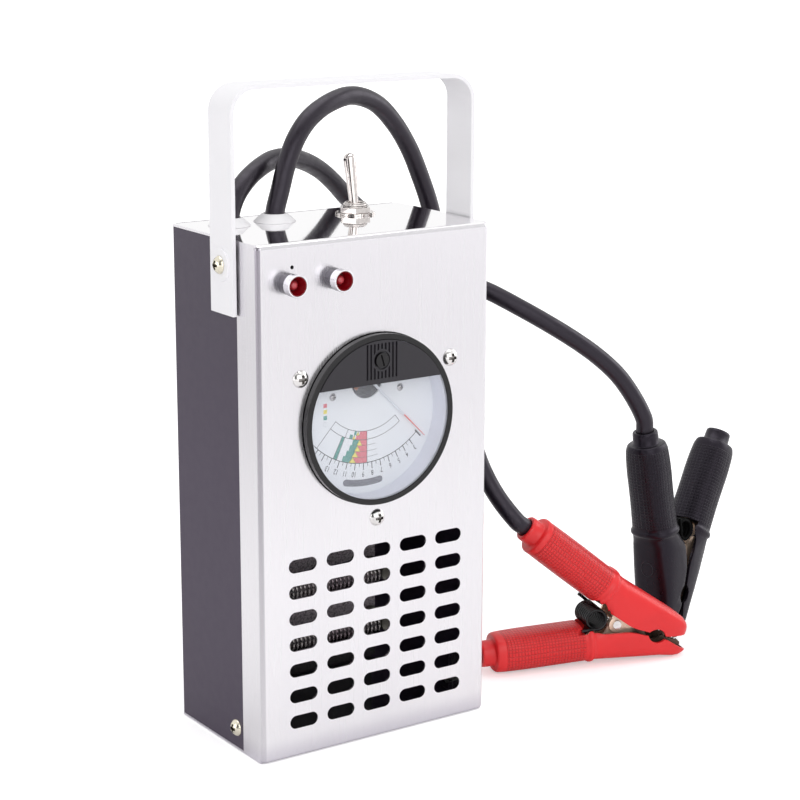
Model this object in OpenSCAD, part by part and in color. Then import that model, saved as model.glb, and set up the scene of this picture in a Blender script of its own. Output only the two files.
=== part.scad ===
// Hand-held battery load tester: a folded sheet case with a panel meter, two
// indicators, a load switch, a carrying bail and two cables with spring clamps.
// Origin: centre of the case's underside. X is the width, -Y the front, +Z up.

/* [Case] */
// Width of the case
case_w = 130; // [124:1:150]
// Depth of the case, front to back
case_d = 80; // [76:1:100]
// Height of the case
case_h = 250; // [245:1:280]
// Thickness of the case's sheet metal
sheet = 1.2; // [0.8:0.1:1.6]
// Outside radius of the front cover's bends
bend_r = 2.5; // [2:0.5:4]
// Depth of the front cover's bright side flanges
flange_d = 18.5; // [16:0.5:22]
// Height of the lower case screws above the base
case_screw_z = 11; // [9:0.5:16]
// Gap left between sheets that slide together
sheet_gap = 0.1; // [0.05:0.05:0.2]

/* [Vent slots] */
// Length of a vent slot
slot_l = 15.5; // [12:0.5:18]
// Height of a vent slot
slot_h = 6.6; // [5:0.2:8]
// Number of slot columns
slot_cols = 5; // [3:1:5]
// Number of slot rows
slot_rows = 7; // [4:1:7]
// Distance between slot columns
slot_pitch_x = 21; // [19:0.5:22]
// Distance between slot rows
slot_pitch_z = 13; // [11:0.5:13]
// Height of the lowest slot row above the base
slot_z = 18; // [16:0.5:20]

/* [Handle] */
// Width of the handle's strap
strap_w = 20.5; // [16:0.5:22]
// Thickness of the strap
strap_t = 2; // [1.5:0.1:2.5]
// Height of the handle's top above the case
handle_rise = 70; // [66:1:90]
// Outside radius of the handle's corners
handle_corner_r = 13; // [8:1:20]
// Depth of the handle's pivot below the case's top
pivot_drop = 12; // [11:0.5:16]
// Distance of the pivot behind the case's front
pivot_back = 27; // [26:0.5:32]
// Length of the strap below its pivot
strap_tail = 23; // [14:1:28]
// Diameter of the raised boss round the pivot
boss_d = 15.6; // [12:0.2:18]

/* [Screws] */
// Thread diameter of the case, handle and meter screws
screw_d = 4; // [3:0.5:4]
// Head diameter of those screws
screw_head_d = 8.6; // [7:0.2:9]
// Head height of those screws
screw_head_h = 2.8; // [2:0.1:3]
// Radial clearance of a running fit
running_gap = 0.08; // [0.04:0.01:0.1]

/* [Meter] */
// Height of the meter's centre below the case's top
meter_drop = 88.5; // [84:0.5:92]
// Outside radius of the meter's bezel
bezel_r = 41.5; // [40:0.5:42]
// How far the bezel stands out of the case
bezel_rise = 4; // [2.5:0.5:5]
// Radius of the meter's window opening
window_r = 38.7; // [37.5:0.1:38.8]
// Depth of the dial behind the bezel's front
dial_depth = 12.8; // [12.5:0.1:14]
// Radius of the meter's mounting flange
meter_flange_r = 53; // [52:0.5:54]
// Radius of the circle of meter screws
meter_screw_r = 49; // [48.5:0.5:49]
// Height of the needle's pivot above the meter's centre
needle_pivot_up = 18.1; // [17.5:0.1:18.5]
// Length of the needle from its pivot
needle_l = 46; // [43:0.5:47]
// Angle between zero and mid scale
needle_half_sweep = 45; // [40:1:45]
// Height of the cap's lower edge above the meter's centre
cap_edge_up = 17.7; // [17:0.1:18]
// Height of the zero adjuster above the meter's centre
adjuster_up = 29; // [28.5:0.1:29.5]
// Number of grooves in the cap
cap_grooves = 9; // [5:2:9]

/* [Indicators] */
// Distance of the indicators below the case's top
led_drop = 18.7; // [16:0.1:19]
// Distance of the outer indicator from the case's left side
led_inset = 16.3; // [14:0.1:18]
// Distance between the indicators
led_pitch = 25; // [20:0.5:30]
// Outside diameter of an indicator's bezel
led_bezel_d = 10.6; // [9:0.2:11]
// How far an indicator stands out
led_rise = 9; // [7:0.5:11]

/* [Switch] */
// Distance of the switch from the case's centre line
switch_x = 25; // [20:0.5:32]
// Distance of the switch in front of the case's back
switch_inset = 23; // [22:0.5:24]
// Diameter of the switch's threaded bushing
bushing_d = 12; // [11.5:0.1:12.5]
// Height of the bushing above the case
bushing_rise = 6; // [5.5:0.1:7]
// Height of the lever's tip above the case, when upright
lever_rise = 30; // [26:0.5:34]
// Diameter of the lever at its tip
lever_tip_d = 6.2; // [5:0.1:6.6]
// Backward lean of the lever at rest
lever_lean = 10; // [6:1:11]
// Size of the switch's nut across its flats
switch_nut_af = 14.4; // [13.8:0.2:15]

/* [Cables] */
// Outside diameter of each cable
cable_d = 9.5; // [8:0.5:9.5]
// Distance of the cable holes in front of the case's back
cable_inset = 21; // [21:1:21]
// Distance of the black clamp's cable from the centre line
black_cable_x = -45; // [-45:1:-45]
// Distance of the red clamp's cable from the centre line
red_cable_x = -20; // [-20:1:-20]
// Diameter of a grommet at the case's surface
grommet_d = 21; // [18:0.5:22]
// Height of a grommet above the case
grommet_h = 4; // [3:0.5:6]

/* [Load resistors] */
// Outside diameter of a resistor coil
coil_d = 11; // [9:0.5:12]
// Diameter of the resistance wire
coil_wire_d = 1.8; // [1.4:0.1:2.2]
// Length of each resistor coil
coil_l = 63; // [50:1:66]
// Number of turns in each coil
coil_turns = 14; // [8:1:15]
// Height of the lower coil above the base
coil_z = 53; // [48:1:56]
// Distance between the two coils
coil_pitch_z = 26; // [22:1:28]

/* [Clamps] */
// Length of the handle grip that holds the cable
grip_l_cable = 51; // [48:1:54]
// Length of the free handle's grip
grip_l_free = 53; // [50:1:56]
// Width of a grip at its ring
grip_w = 25; // [24:0.5:26]
// Thickness of a grip at its ring
grip_t = 20.5; // [20:0.5:21.5]
// Diameter of a grip at its end
grip_end_d = 21; // [20:0.5:22]
// Length of a jaw from its rivet to its tip
jaw_l = 45; // [44:1:48]
// Width of the sleeve over a jaw
cover_w = 26.5; // [26:0.5:28]
// Wall of the clamp's sleeves
sleeve_wall = 1.8; // [1.6:0.1:2]
// Thickness of the jaws' plate
jaw_plate = 1.5; // [1.2:0.1:1.6]
// Diameter of a clamp's rivet
rivet_d = 4; // [3.6:0.1:4.4]

/* [Hidden] */
$fn = 48;

// Small amounts: past a face for a cut, and between pieces that seat.
past = 1;
seat = 0.1;

// Main planes of the case.
front_y = -case_d / 2;
back_y = case_d / 2;
side_x = case_w / 2;
inner_front_y = front_y + sheet;
inner_back_y = back_y - sheet;
inner_side_x = side_x - sheet;
inner_top_z = case_h - sheet;
seam_y = front_y + flange_d;

// Where the pieces sit.
meter_z = case_h - meter_drop;
needle_z = meter_z + needle_pivot_up;
adjuster_z = meter_z + adjuster_up;
cap_edge_z = meter_z + cap_edge_up;
bezel_front_y = front_y - bezel_rise;
dial_y = bezel_front_y + dial_depth;
dial_t = 0.8;
pivot_y = front_y + pivot_back;
pivot_z = case_h - pivot_drop;
case_screw_y = pivot_y - 2;
switch_y = back_y - switch_inset;
cable_y = back_y - cable_inset;
led_z = case_h - led_drop;
led_x = [-side_x + led_inset, -side_x + led_inset + led_pitch];

// ---------------------------------------------------------------- helpers

module at_meter() { translate([0, 0, meter_z]) children(); }

// Turns a shape drawn along +Z so that it points to the front, -Y.
module to_front() { rotate([90, 0, 0]) children(); }

// Turns a shape drawn along +Z so that it points to the back, +Y.
module to_back() { rotate([-90, 0, 0]) children(); }

// Turns a shape drawn along +Z so that it points along side * X.
module to_side(side) { rotate([0, 90 * side, 0]) children(); }

// Block between two corners.
module block(low, high) { translate(low) cube(high - low); }

// Tube or disc along +Z from z0 to z1.
module ring(r, bore, z0, z1) {
    difference() {
        translate([0, 0, z0]) cylinder(r = r, h = z1 - z0);
        if (bore > 0)
            translate([0, 0, z0 - past]) cylinder(r = bore, h = z1 - z0 + 2 * past);
    }
}

// Domed cross-recess screw along -Z, its head seated on z = 0.
module pan_screw(d, l, head_d, head_h) {
    dome_r = (head_d * head_d / 4 + head_h * head_h) / (2 * head_h);
    recess = 0.16 * head_d;
    translate([0, 0, -l]) cylinder(d = d, h = l + past / 2);
    difference() {
        intersection() {
            cylinder(d = head_d, h = head_h);
            translate([0, 0, head_h - dome_r]) sphere(r = dome_r);
        }
        for (turn = [0, 90])
            rotate([0, 0, turn])
                translate([-head_d / 4, -recess / 2, head_h * 0.45])
                    cube([head_d / 2, recess, head_h]);
    }
}

// Hexagon nut along +Z from z = 0.
module hex_nut(af, h, bore_d) {
    difference() {
        cylinder(d = af / cos(30), h = h, $fn = 6);
        translate([0, 0, -past]) cylinder(d = bore_d, h = h + 2 * past);
    }
}

// Slot outline with round ends.
module slot_outline(l, h) {
    square([l - h, h], center = true);
    for (side = [-1, 1]) translate([side * (l - h) / 2, 0]) circle(d = h);
}

// ------------------------------------------------- paths, tubes and coils

// Unit vector and cross product helpers for swept tubes.
function unit(v) = v / norm(v);
function side_of(t) = unit(abs(t[2]) < 0.9 ? cross(t, [0, 0, 1]) : cross(t, [0, 1, 0]));

// Smooth curve through the points, with steps pieces between each pair.
function spline_at(a, b, c, d, t) =
    0.5 * (2 * b + (c - a) * t + (2 * a - 5 * b + 4 * c - d) * t * t
        + (3 * b - a - 3 * c + d) * t * t * t);
function smooth(p, steps) = [
    for (i = [0 : len(p) - 2], s = [0 : steps - 1])
        spline_at(p[max(i - 1, 0)], p[i], p[i + 1], p[min(i + 2, len(p) - 1)], s / steps),
    p[len(p) - 1]
];
function tangent(p, i) = unit(p[min(i + 1, len(p) - 1)] - p[max(i - 1, 0)]);

// Cross direction carried along the path without twist.
function carried(side, t) = unit(side - t * (side * t));
function sides(p, i = 0, found = []) =
    i == len(p) ? found
    : let (t = tangent(p, i))
      sides(p, i + 1, concat(found, [i == 0 ? side_of(t) : carried(found[i - 1], t)]));

// Closed round tube along a path.
module tube(path, d, n) {
    across = sides(path);
    points = [
        for (i = [0 : len(path) - 1])
            let (t = tangent(path, i), s = across[i], u = cross(t, s))
            for (k = [0 : n - 1])
                path[i] + d / 2 * (cos(360 * k / n) * s + sin(360 * k / n) * u)
    ];
    last = (len(path) - 1) * n;
    walls = [
        for (i = [0 : len(path) - 2], k = [0 : n - 1])
            let (m = (k + 1) % n)
            [i * n + k, (i + 1) * n + k, (i + 1) * n + m, i * n + m]
    ];
    polyhedron(
        points,
        concat([[for (k = [0 : n - 1]) k]], [[for (k = [n - 1 : -1 : 0]) last + k]], walls),
        convexity = 10);
}

// Path of a helix along +X, centred on the axis.
function helix(r, l, turns, per_turn) = [
    for (i = [0 : turns * per_turn])
        [l * i / (turns * per_turn), r * cos(360 * i / per_turn), r * sin(360 * i / per_turn)]
];

// Closed solid through a list of rings with the same number of points.
module loft(rings) {
    n = len(rings[0]);
    last = (len(rings) - 1) * n;
    polyhedron(
        [for (r = rings, p = r) p],
        concat(
            [[for (k = [0 : n - 1]) k]],
            [[for (k = [n - 1 : -1 : 0]) last + k]],
            [for (i = [0 : len(rings) - 2], k = [0 : n - 1])
                let (m = (k + 1) % n)
                [i * n + k, (i + 1) * n + k, (i + 1) * n + m, i * n + m]]),
        convexity = 10);
}

// ------------------------------------------------------------------- case

// Box whose four front edges and corners are rounded; the rest is square.
module front_rounded(half_w, y0, y1, z0, z1, r) {
    block([-half_w + r, y0, z0 + r], [half_w - r, y1, z1 - r]);
    block([-half_w, y0 + r, z0], [half_w, y1, z1]);
    for (side = [-1, 1])
        translate([side * (half_w - r), y0 + r, z0 + r]) cylinder(r = r, h = z1 - z0 - 2 * r);
    for (z = [z0 + r, z1 - r]) {
        translate([-half_w + r, y0 + r, z]) rotate([0, 90, 0]) cylinder(r = r, h = 2 * half_w - 2 * r);
        for (side = [-1, 1]) translate([side * (half_w - r), y0 + r, z]) sphere(r = r);
    }
}

lap_h = 24;
lap_back = 9;

// Thickness of a lap towards -X and +X, on one side of the case.
function side_pair(side) = side > 0 ? [sheet, 0] : [0, sheet];

// Bright cover: front, top, bottom and narrow side flanges in one sheet.
module front_cover() {
    color([0.86, 0.86, 0.88])
    difference() {
        union() {
            difference() {
                front_rounded(side_x, front_y, inner_back_y - sheet_gap, 0, case_h, bend_r);
                front_rounded(inner_side_x, inner_front_y, back_y + past, sheet, inner_top_z,
                    bend_r - sheet);
                for (side = [-1, 1])
                    block([side * side_x - sheet - sheet_gap, seam_y, sheet],
                        [side * side_x + sheet + sheet_gap, back_y + past, inner_top_z]);
            }
            for (side = [-1, 1], z = [sheet + 1.5, inner_top_z - lap_h - 1.5])
                translate([side * inner_side_x, seam_y, z]) {
                    block([-side_pair(side)[0], -lap_back, 0], [side_pair(side)[1], lap_back, lap_h]);
                    block([-sheet / 2, -lap_back + 1, 1], [sheet / 2, -1, lap_h - 1]);
                }
        }
        to_front() linear_extrude(case_d, center = true) vent_outline();
        front_hole([0, meter_z], bezel_r + 0.4);
        for (turn = [30, 150, 270])
            front_hole([meter_screw_r * cos(turn), meter_z + meter_screw_r * sin(turn)],
                screw_d / 2 + 0.15);
        for (x = led_x) front_hole([x, led_z], led_thread_r + seat);
        front_hole([led_x[0] + 2.3, led_z + 7.3], 0.9);
        for (x = [red_cable_x, black_cable_x])
            translate([x, cable_y, inner_top_z - past])
                cylinder(r = grommet_neck_r + seat, h = sheet + 2 * past);
        translate([switch_x, switch_y, inner_top_z - past])
            cylinder(d = bushing_d + 2 * seat, h = sheet + 2 * past);
        side_holes(pivot_y, pivot_z);
        side_holes(case_screw_y, case_screw_z);
    }
}

// Round hole through the front sheet only.
module front_hole(at, r) {
    translate([at[0], inner_front_y + past, at[1]]) to_front() cylinder(r = r, h = sheet + 2 * past);
}

// Pair of screw holes through both sides.
module side_holes(y, z) {
    for (side = [-1, 1])
        translate([side * (side_x - 3 * sheet), y, z]) to_side(side)
            cylinder(d = screw_d + 2 * running_gap, h = 5 * sheet);
}

module vent_outline() {
    for (col = [0 : slot_cols - 1], row = [0 : slot_rows - 1])
        translate([(col - (slot_cols - 1) / 2) * slot_pitch_x, slot_z + row * slot_pitch_z])
            slot_outline(slot_l, slot_h);
}

// Painted shell: the back and both sides in one sheet.
module rear_shell() {
    low = sheet + sheet_gap;
    high = inner_top_z - sheet_gap;
    color([0.3, 0.28, 0.33])
    difference() {
        union() {
            block([-side_x, seam_y + sheet_gap, low], [side_x, back_y - bend_r, high]);
            block([-side_x + bend_r, back_y - bend_r, 0], [side_x - bend_r, back_y, case_h]);
            for (side = [-1, 1])
                translate([side * (side_x - bend_r), back_y - bend_r, low])
                    cylinder(r = bend_r, h = high - low);
        }
        block([-inner_side_x, seam_y - past, -past], [inner_side_x, inner_back_y, case_h + past]);
        side_holes(pivot_y, pivot_z);
        side_holes(case_screw_y, case_screw_z);
    }
}

nut_h = 3.2;
nut_af = 7;
lap_inner_x = inner_side_x - sheet;

// Two pan-head screws that hold the shell to the cover near the base.
module case_screws() {
    color([0.8, 0.77, 0.66])
    for (side = [-1, 1])
        translate([side * side_x, case_screw_y, case_screw_z]) to_side(side)
            pan_screw(screw_d, 2 * sheet + nut_h + 2, screw_head_d, screw_head_h);
}

// Clinch nuts behind the cover's laps, for the case and handle screws.
module case_nuts() {
    color([0.7, 0.7, 0.7])
    for (side = [-1, 1], at = [[pivot_y, pivot_z], [case_screw_y, case_screw_z]])
        translate([side * lap_inner_x, at[0], at[1]]) to_side(-side)
            hex_nut(nut_af, nut_h, screw_d + 2 * seat);
}

// ----------------------------------------------------------------- handle

washer_t = 0.8;
strap_gap = 0.15;
strap_in_x = side_x + washer_t + strap_gap;
strap_out_x = strap_in_x + strap_t;
boss_h = 1;
handle_top_z = case_h + handle_rise;

// Outline of the arch in X and height, out to half width w and up to top.
module arch_outline(w, top, low, r) {
    translate([-w, low]) square([2 * w, top - low - r]);
    translate([-w + r, low]) square([2 * w - 2 * r, top - low]);
    for (side = [-1, 1]) translate([side * (w - r), top - r]) circle(r = r);
}

// Bail of flat strap, bent over the case and pivoted on its sides.
module handle() {
    color([0.94, 0.94, 0.95])
    difference() {
        union() {
            translate([0, pivot_y + strap_w / 2, 0]) to_front() linear_extrude(strap_w)
                difference() {
                    arch_outline(strap_out_x, handle_top_z, pivot_z - strap_tail, handle_corner_r);
                    arch_outline(strap_in_x, handle_top_z - strap_t, pivot_z - strap_tail - past,
                        handle_corner_r - strap_t);
                }
            for (side = [-1, 1])
                translate([side * strap_out_x, pivot_y, pivot_z]) to_side(side)
                    cylinder(d = boss_d, h = boss_h);
        }
        for (side = [-1, 1])
            translate([side * (strap_in_x - past), pivot_y, pivot_z]) to_side(side)
                cylinder(d = screw_d + 2 * running_gap, h = strap_t + boss_h + 2 * past);
    }
}

// Two pan-head screws on which the handle turns.
module handle_screws() {
    head_x = strap_out_x + boss_h + strap_gap;
    color([0.8, 0.77, 0.66])
    for (side = [-1, 1])
        translate([side * head_x, pivot_y, pivot_z]) to_side(side)
            pan_screw(screw_d, head_x - lap_inner_x + nut_h + 1, screw_head_d, screw_head_h);
}

// Fibre washers between the handle and the case.
module handle_washers() {
    color([0.85, 0.85, 0.83])
    for (side = [-1, 1])
        translate([side * side_x, pivot_y, pivot_z]) to_side(side)
            ring(6, screw_d / 2 + running_gap, 0, washer_t);
}

// ------------------------------------------------------------------ meter

meter_back_y = -12;
meter_wall = 2;
meter_body_r = bezel_r + 1.5;
meter_bore_r = window_r + 1.5;
liner_r = meter_bore_r - seat;
window_t = 1.4;
lip_t = 0.8;
flange_t = 3;
shelf_t = 2;
window_back_y = bezel_front_y + lip_t + window_t;
dial_screw_at = [19.2, 11];

// Cylinder pointing to the back, from y0 to y1, round the meter's centre.
module meter_ring(r, bore, y0, y1) { at_meter() to_back() ring(r, bore, y0, y1); }

// Black moulded body with bezel, flange, shelf for the dial and closed back.
module meter_case() {
    flange_y = inner_front_y + seat / 2;
    color([0.13, 0.12, 0.14])
    difference() {
        union() {
            meter_ring(bezel_r, window_r, bezel_front_y, bezel_front_y + lip_t);
            meter_ring(bezel_r, meter_bore_r, bezel_front_y + lip_t, flange_y + flange_t);
            meter_ring(meter_flange_r, meter_bore_r, flange_y, flange_y + flange_t);
            meter_ring(meter_body_r, meter_bore_r, flange_y, meter_back_y - meter_wall);
            meter_ring(meter_body_r, window_r - 2.5, dial_y + dial_t, dial_y + dial_t + shelf_t);
            meter_ring(meter_body_r, 0, meter_back_y - meter_wall, meter_back_y);
            for (side = [-1, 1])
                at_meter() translate([side * dial_screw_at[0], 0, dial_screw_at[1]]) to_back()
                    ring(2.6, 0, dial_y + dial_t, meter_back_y - meter_wall);
        }
        for (turn = [30, 150, 270])
            at_meter() translate([meter_screw_r * cos(turn), flange_y - past, meter_screw_r * sin(turn)])
                to_back() cylinder(d = screw_d + 0.3, h = flange_t + 2 * past);
        for (side = [-1, 1]) {
            at_meter() translate([side * dial_screw_at[0], dial_y, dial_screw_at[1]]) to_back()
                cylinder(r = 0.8 + seat, h = 8);
            at_meter() translate([side * stud_at[0], meter_back_y - meter_wall - past, stud_at[1]])
                to_back() cylinder(d = stud_d + 2 * seat, h = meter_wall + 2 * past);
        }
    }
}

// White ring that spaces the window from the dial.
module meter_liner() {
    color([0.93, 0.94, 0.97])
    meter_ring(liner_r, window_r, window_back_y + seat, dial_y - seat / 2);
}

// Part of a disc below or above the cap's edge, drawn in X and Z.
module segment_outline(r, above, gap) {
    intersection() {
        circle(r = r, $fn = 96);
        translate([-2 * r, above ? cap_edge_up + gap : -2 * r])
            square([4 * r, above ? 2 * r : 2 * r + cap_edge_up - gap]);
    }
}

// Clear window, held behind the bezel's lip.
module meter_window() {
    color([0.85, 0.9, 0.95, 0.35])
    at_meter() translate([0, window_back_y, 0]) to_front()
        linear_extrude(window_t) segment_outline(liner_r, false, seat);
}

groove_pitch = 2.05;
groove_w = 1;
groove_depth = 0.8;
groove_low = 20.2;
groove_high = 38.2;
adjuster_r = 3.6;
adjuster_well_r = 4.5;

// Black cap over the movement, grooved, with a well for the adjuster.
module meter_cap() {
    cap_front_y = bezel_front_y - 0.2;
    color([0.15, 0.14, 0.16])
    at_meter() difference() {
        translate([0, window_back_y, 0]) to_front()
            linear_extrude(window_back_y - cap_front_y) segment_outline(window_r - seat, true, seat);
        difference() {
            for (i = [0 : cap_grooves - 1])
                translate([(i - (cap_grooves - 1) / 2) * groove_pitch, 0, 0])
                    block([-groove_w / 2, cap_front_y - past, groove_low],
                        [groove_w / 2, cap_front_y + groove_depth,
                            min(groove_high, window_r - 1.6)]);
            translate([0, cap_front_y - 2 * past, adjuster_up]) to_back()
                cylinder(r = adjuster_well_r + 0.9, h = 4 * past);
        }
        translate([0, cap_front_y - past, adjuster_up]) to_back()
            cylinder(r = adjuster_well_r, h = past + 0.7);
        translate([0, cap_front_y - past, adjuster_up]) to_back()
            cylinder(r = adjuster_r + running_gap, h = 6);
    }
}

// Slotted zero adjuster with an eccentric pin.
module zero_adjuster() {
    color([0.1, 0.1, 0.11])
    translate([0, bezel_front_y, adjuster_z]) rotate([0, -17, 0]) difference() {
        union() {
            to_back() ring(adjuster_r, 0, -0.9, 2.8);
            to_back() ring(4.6, 0, 2.3, 3.1);
            to_back() ring(1.2, 0, 3.1, 7);
            translate([0, 0, -0.6]) to_back() ring(0.4, 0, 7, 8.6);
        }
        block([-0.45, -past - 0.9, -2.8], [0.45, -0.1, 2.8]);
    }
}

dial_hole_r = 8.8;

// Printed dial with the movement's opening.
module dial_plate() {
    color([0.95, 0.96, 0.98])
    at_meter() difference() {
        to_back() ring(liner_r - seat, 0, dial_y, dial_y + dial_t);
        translate([0, dial_y - past, needle_pivot_up - 1.3]) to_back()
            cylinder(r = dial_hole_r, h = dial_t + 2 * past);
        for (side = [-1, 1])
            translate([side * dial_screw_at[0], dial_y - past, dial_screw_at[1]]) to_back()
                cylinder(r = 0.8 + seat, h = dial_t + 2 * past);
    }
}

// Two small screws that hold the dial.
module dial_screws() {
    color([0.75, 0.72, 0.74])
    for (side = [-1, 1])
        at_meter() translate([side * dial_screw_at[0], dial_y, dial_screw_at[1]]) to_front()
            pan_screw(1.6, 6, 3.8, 1.2);
}

bridge_half = 11;
bridge_front = 4;
bridge_t = 0.8;

// Bright bridge that carries the front pivot, footed on the dial.
module pivot_bridge() {
    color([0.8, 0.8, 0.82])
    translate([0, dial_y, needle_z]) {
        block([-bridge_half, -bridge_front, -1.5], [bridge_half, -bridge_front + bridge_t, 1.5]);
        for (side = [-1, 1])
            translate([side * (bridge_half - bridge_t / 2), 0, 0])
                block([-bridge_t / 2, -bridge_front, -1.5], [bridge_t / 2, 0, 1.5]);
    }
}

hub_back = 0.6;
hub_front = bridge_front - bridge_t - seat;

// Red needle on its hub, with a short counterweighted tail.
module needle() {
    color([0.85, 0.1, 0.12])
    translate([0, dial_y, needle_z]) rotate([0, -needle_half_sweep, 0]) {
        to_front() cylinder(r = 1.6, h = hub_front);
        translate([0, -1.4, 0]) to_front() linear_extrude(0.5)
            polygon([[-0.7, 0], [-0.25, -needle_l], [0.25, -needle_l], [0.7, 0], [0.7, 7], [-0.7, 7]]);
        translate([0, -0.9, 5.5]) to_front() cylinder(r = 1.4, h = 1.5);
    }
}

core_r = 6;
coil_half = 7.3;
coil_bar = 0.5;
pole_r = 8.7;
yoke_r = 16.5;
yoke_front = dial_y + 3;
movement_back_y = meter_back_y - meter_wall;

// Wound frame and pivot that turn with the needle.
module moving_coil() {
    frame_front = yoke_front - 1.2;
    frame_back = movement_back_y - 2.4;
    color([0.72, 0.42, 0.2])
    translate([0, 0, needle_z]) rotate([0, -needle_half_sweep, 0]) {
        difference() {
            block([-coil_half - coil_bar, frame_front, -1], [coil_half + coil_bar, frame_back, 1]);
            block([-coil_half + coil_bar, frame_front + 1, -1 - past],
                [coil_half - coil_bar, frame_back - 1, 1 + past]);
        }
        to_back() ring(0.5, 0, dial_y, frame_front + 0.5);
        to_back() ring(0.5, 0, frame_back - 0.5, movement_back_y - seat);
    }
}

// Ring yoke and magnet core, seated on the back of the meter's body.
module magnet_yoke() {
    core_back = movement_back_y - 4.2;
    color([0.5, 0.5, 0.53])
    translate([0, 0, needle_z]) {
        to_back() ring(yoke_r, pole_r, yoke_front, movement_back_y);
        to_back() ring(core_r, 0, yoke_front + 0.4, core_back);
        block([-1.2, yoke_front + 0.4, core_r - 0.5], [1.2, core_back, pole_r + 0.5]);
    }
}

stud_at = [16, -12];
stud_d = 4;

// Two brass terminal studs, each with its nut.
module meter_studs() {
    color([0.82, 0.66, 0.3])
    for (side = [-1, 1])
        at_meter() translate([side * stud_at[0], meter_back_y - meter_wall, stud_at[1]]) to_back() {
            translate([0, 0, -1.5]) cylinder(d = 7, h = 1.5);
            translate([0, 0, -1]) cylinder(d = stud_d, h = 14);
            translate([0, 0, meter_wall + seat / 2]) hex_nut(nut_af, nut_h, stud_d - 0.4);
        }
}

// Three pan-head screws round the meter.
module meter_screws() {
    color([0.85, 0.85, 0.86])
    for (turn = [30, 150, 270])
        at_meter() translate([meter_screw_r * cos(turn), front_y, meter_screw_r * sin(turn)]) to_front()
            pan_screw(screw_d, sheet + flange_t + nut_h + 1, screw_head_d, screw_head_h);
}

// Their nuts, behind the meter's flange.
module meter_screw_nuts() {
    color([0.75, 0.75, 0.76])
    for (turn = [30, 150, 270])
        at_meter() translate([meter_screw_r * cos(turn), inner_front_y + flange_t + seat,
            meter_screw_r * sin(turn)]) to_back()
            hex_nut(nut_af, nut_h, screw_d + 2 * seat);
}

// ------------------------------------------------------------- indicators

led_thread_r = 4;
led_cup_r = led_bezel_d / 2 - 0.7;
led_cup_depth = 6;
led_thread_l = 11;

module at_leds() { for (x = led_x) translate([x, front_y, led_z]) children(); }

// Chromed bezels with their threaded barrels.
module led_bezels() {
    color([0.88, 0.88, 0.9])
    at_leds() {
        to_front() difference() {
            union() {
                cylinder(d = led_bezel_d - 0.5, h = led_rise * 0.5);
                translate([0, 0, led_rise * 0.5]) cylinder(d = led_bezel_d, h = led_rise * 0.5);
                translate([0, 0, -led_thread_l]) cylinder(r = led_thread_r, h = led_thread_l + past);
            }
            translate([0, 0, led_rise - led_cup_depth]) cylinder(r = led_cup_r, h = led_cup_depth + past);
            translate([0, 0, -led_thread_l - past]) cylinder(r = 2.7, h = led_rise + led_thread_l);
        }
    }
}

// Red cups inside the bezels.
module led_reflectors() {
    color([0.6, 0.02, 0.04])
    at_leds() to_front() translate([0, 0, led_rise - led_cup_depth]) difference() {
        cylinder(r = led_cup_r - seat / 2, h = led_cup_depth - 0.3);
        translate([0, 0, 1]) cylinder(r1 = 2.7, r2 = led_cup_r - 0.4, h = led_cup_depth - 1.2);
        translate([0, 0, -past]) cylinder(r = 2.6, h = led_cup_depth);
    }
}

// Red lamps with round tips and a rim.
module leds() {
    dome_y = led_rise - 2.6;
    color([0.8, 0.05, 0.08])
    at_leds() to_front() {
        translate([0, 0, -2]) cylinder(r = 2.5, h = dome_y + 2 - 2.5);
        translate([0, 0, dome_y - 2.5]) sphere(r = 2.5);
        for (side = [-1, 1]) translate([side * 1.27, 0, -12]) cylinder(r = 0.3, h = 11);
    }
}

// Hexagon nuts behind the panel.
module led_nuts() {
    color([0.8, 0.8, 0.8])
    at_leds() translate([0, sheet + seat / 2, 0]) to_back() hex_nut(10.5, 2.4, 2 * led_thread_r + 2 * seat);
}

// ----------------------------------------------------------------- switch

switch_half_x = 9;
switch_half_y = 10;
switch_deep = 24;
washer_h = 1.1;
switch_nut_h = 2.6;
lever_ball_r = 3.4;
lever_pivot_z = case_h - 1;
lever_neck_d = 4.6;

module at_switch() { translate([switch_x, switch_y, 0]) children(); }

// Moulded switch body under the top, hollow where the lever's ball moves.
module switch_body() {
    color([0.12, 0.12, 0.13])
    at_switch() difference() {
        block([-switch_half_x, -switch_half_y, inner_top_z - switch_deep],
            [switch_half_x, switch_half_y, inner_top_z - seat]);
        translate([0, 0, inner_top_z - 9]) cylinder(r = 5, h = 10);
    }
}

// Threaded bushing with the lever's conical mouth.
module switch_bushing() {
    throat_r = 3.8;
    color([0.8, 0.8, 0.8])
    at_switch() difference() {
        union() {
            translate([0, 0, inner_top_z]) cylinder(d = bushing_d, h = sheet + bushing_rise - 1);
            translate([0, 0, case_h + bushing_rise - 1]) cylinder(d1 = bushing_d, d2 = bushing_d - 1.6, h = 1);
        }
        translate([0, 0, inner_top_z - past]) cylinder(r = throat_r, h = 5);
        translate([0, 0, inner_top_z + 3.9])
            cylinder(r1 = throat_r, r2 = throat_r + 0.9, h = bushing_rise + sheet - 3.9 + past / 10);
    }
}

// Toothed lock washer.
module switch_washer() {
    color([0.82, 0.82, 0.82])
    at_switch() translate([0, 0, case_h]) difference() {
        union() {
            cylinder(r = 8.6, h = washer_h);
            for (i = [0 : 11]) rotate([0, 0, 30 * i]) translate([-0.9, 0, 0]) cube([1.8, 9.8, washer_h]);
        }
        translate([0, 0, -past]) cylinder(d = bushing_d + 2 * seat, h = washer_h + 2 * past);
    }
}

// Hexagon nut on the bushing.
module switch_nut() {
    color([0.84, 0.84, 0.84])
    at_switch() translate([0, 0, case_h + washer_h]) hex_nut(switch_nut_af, switch_nut_h, bushing_d + 2 * seat);
}

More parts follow.
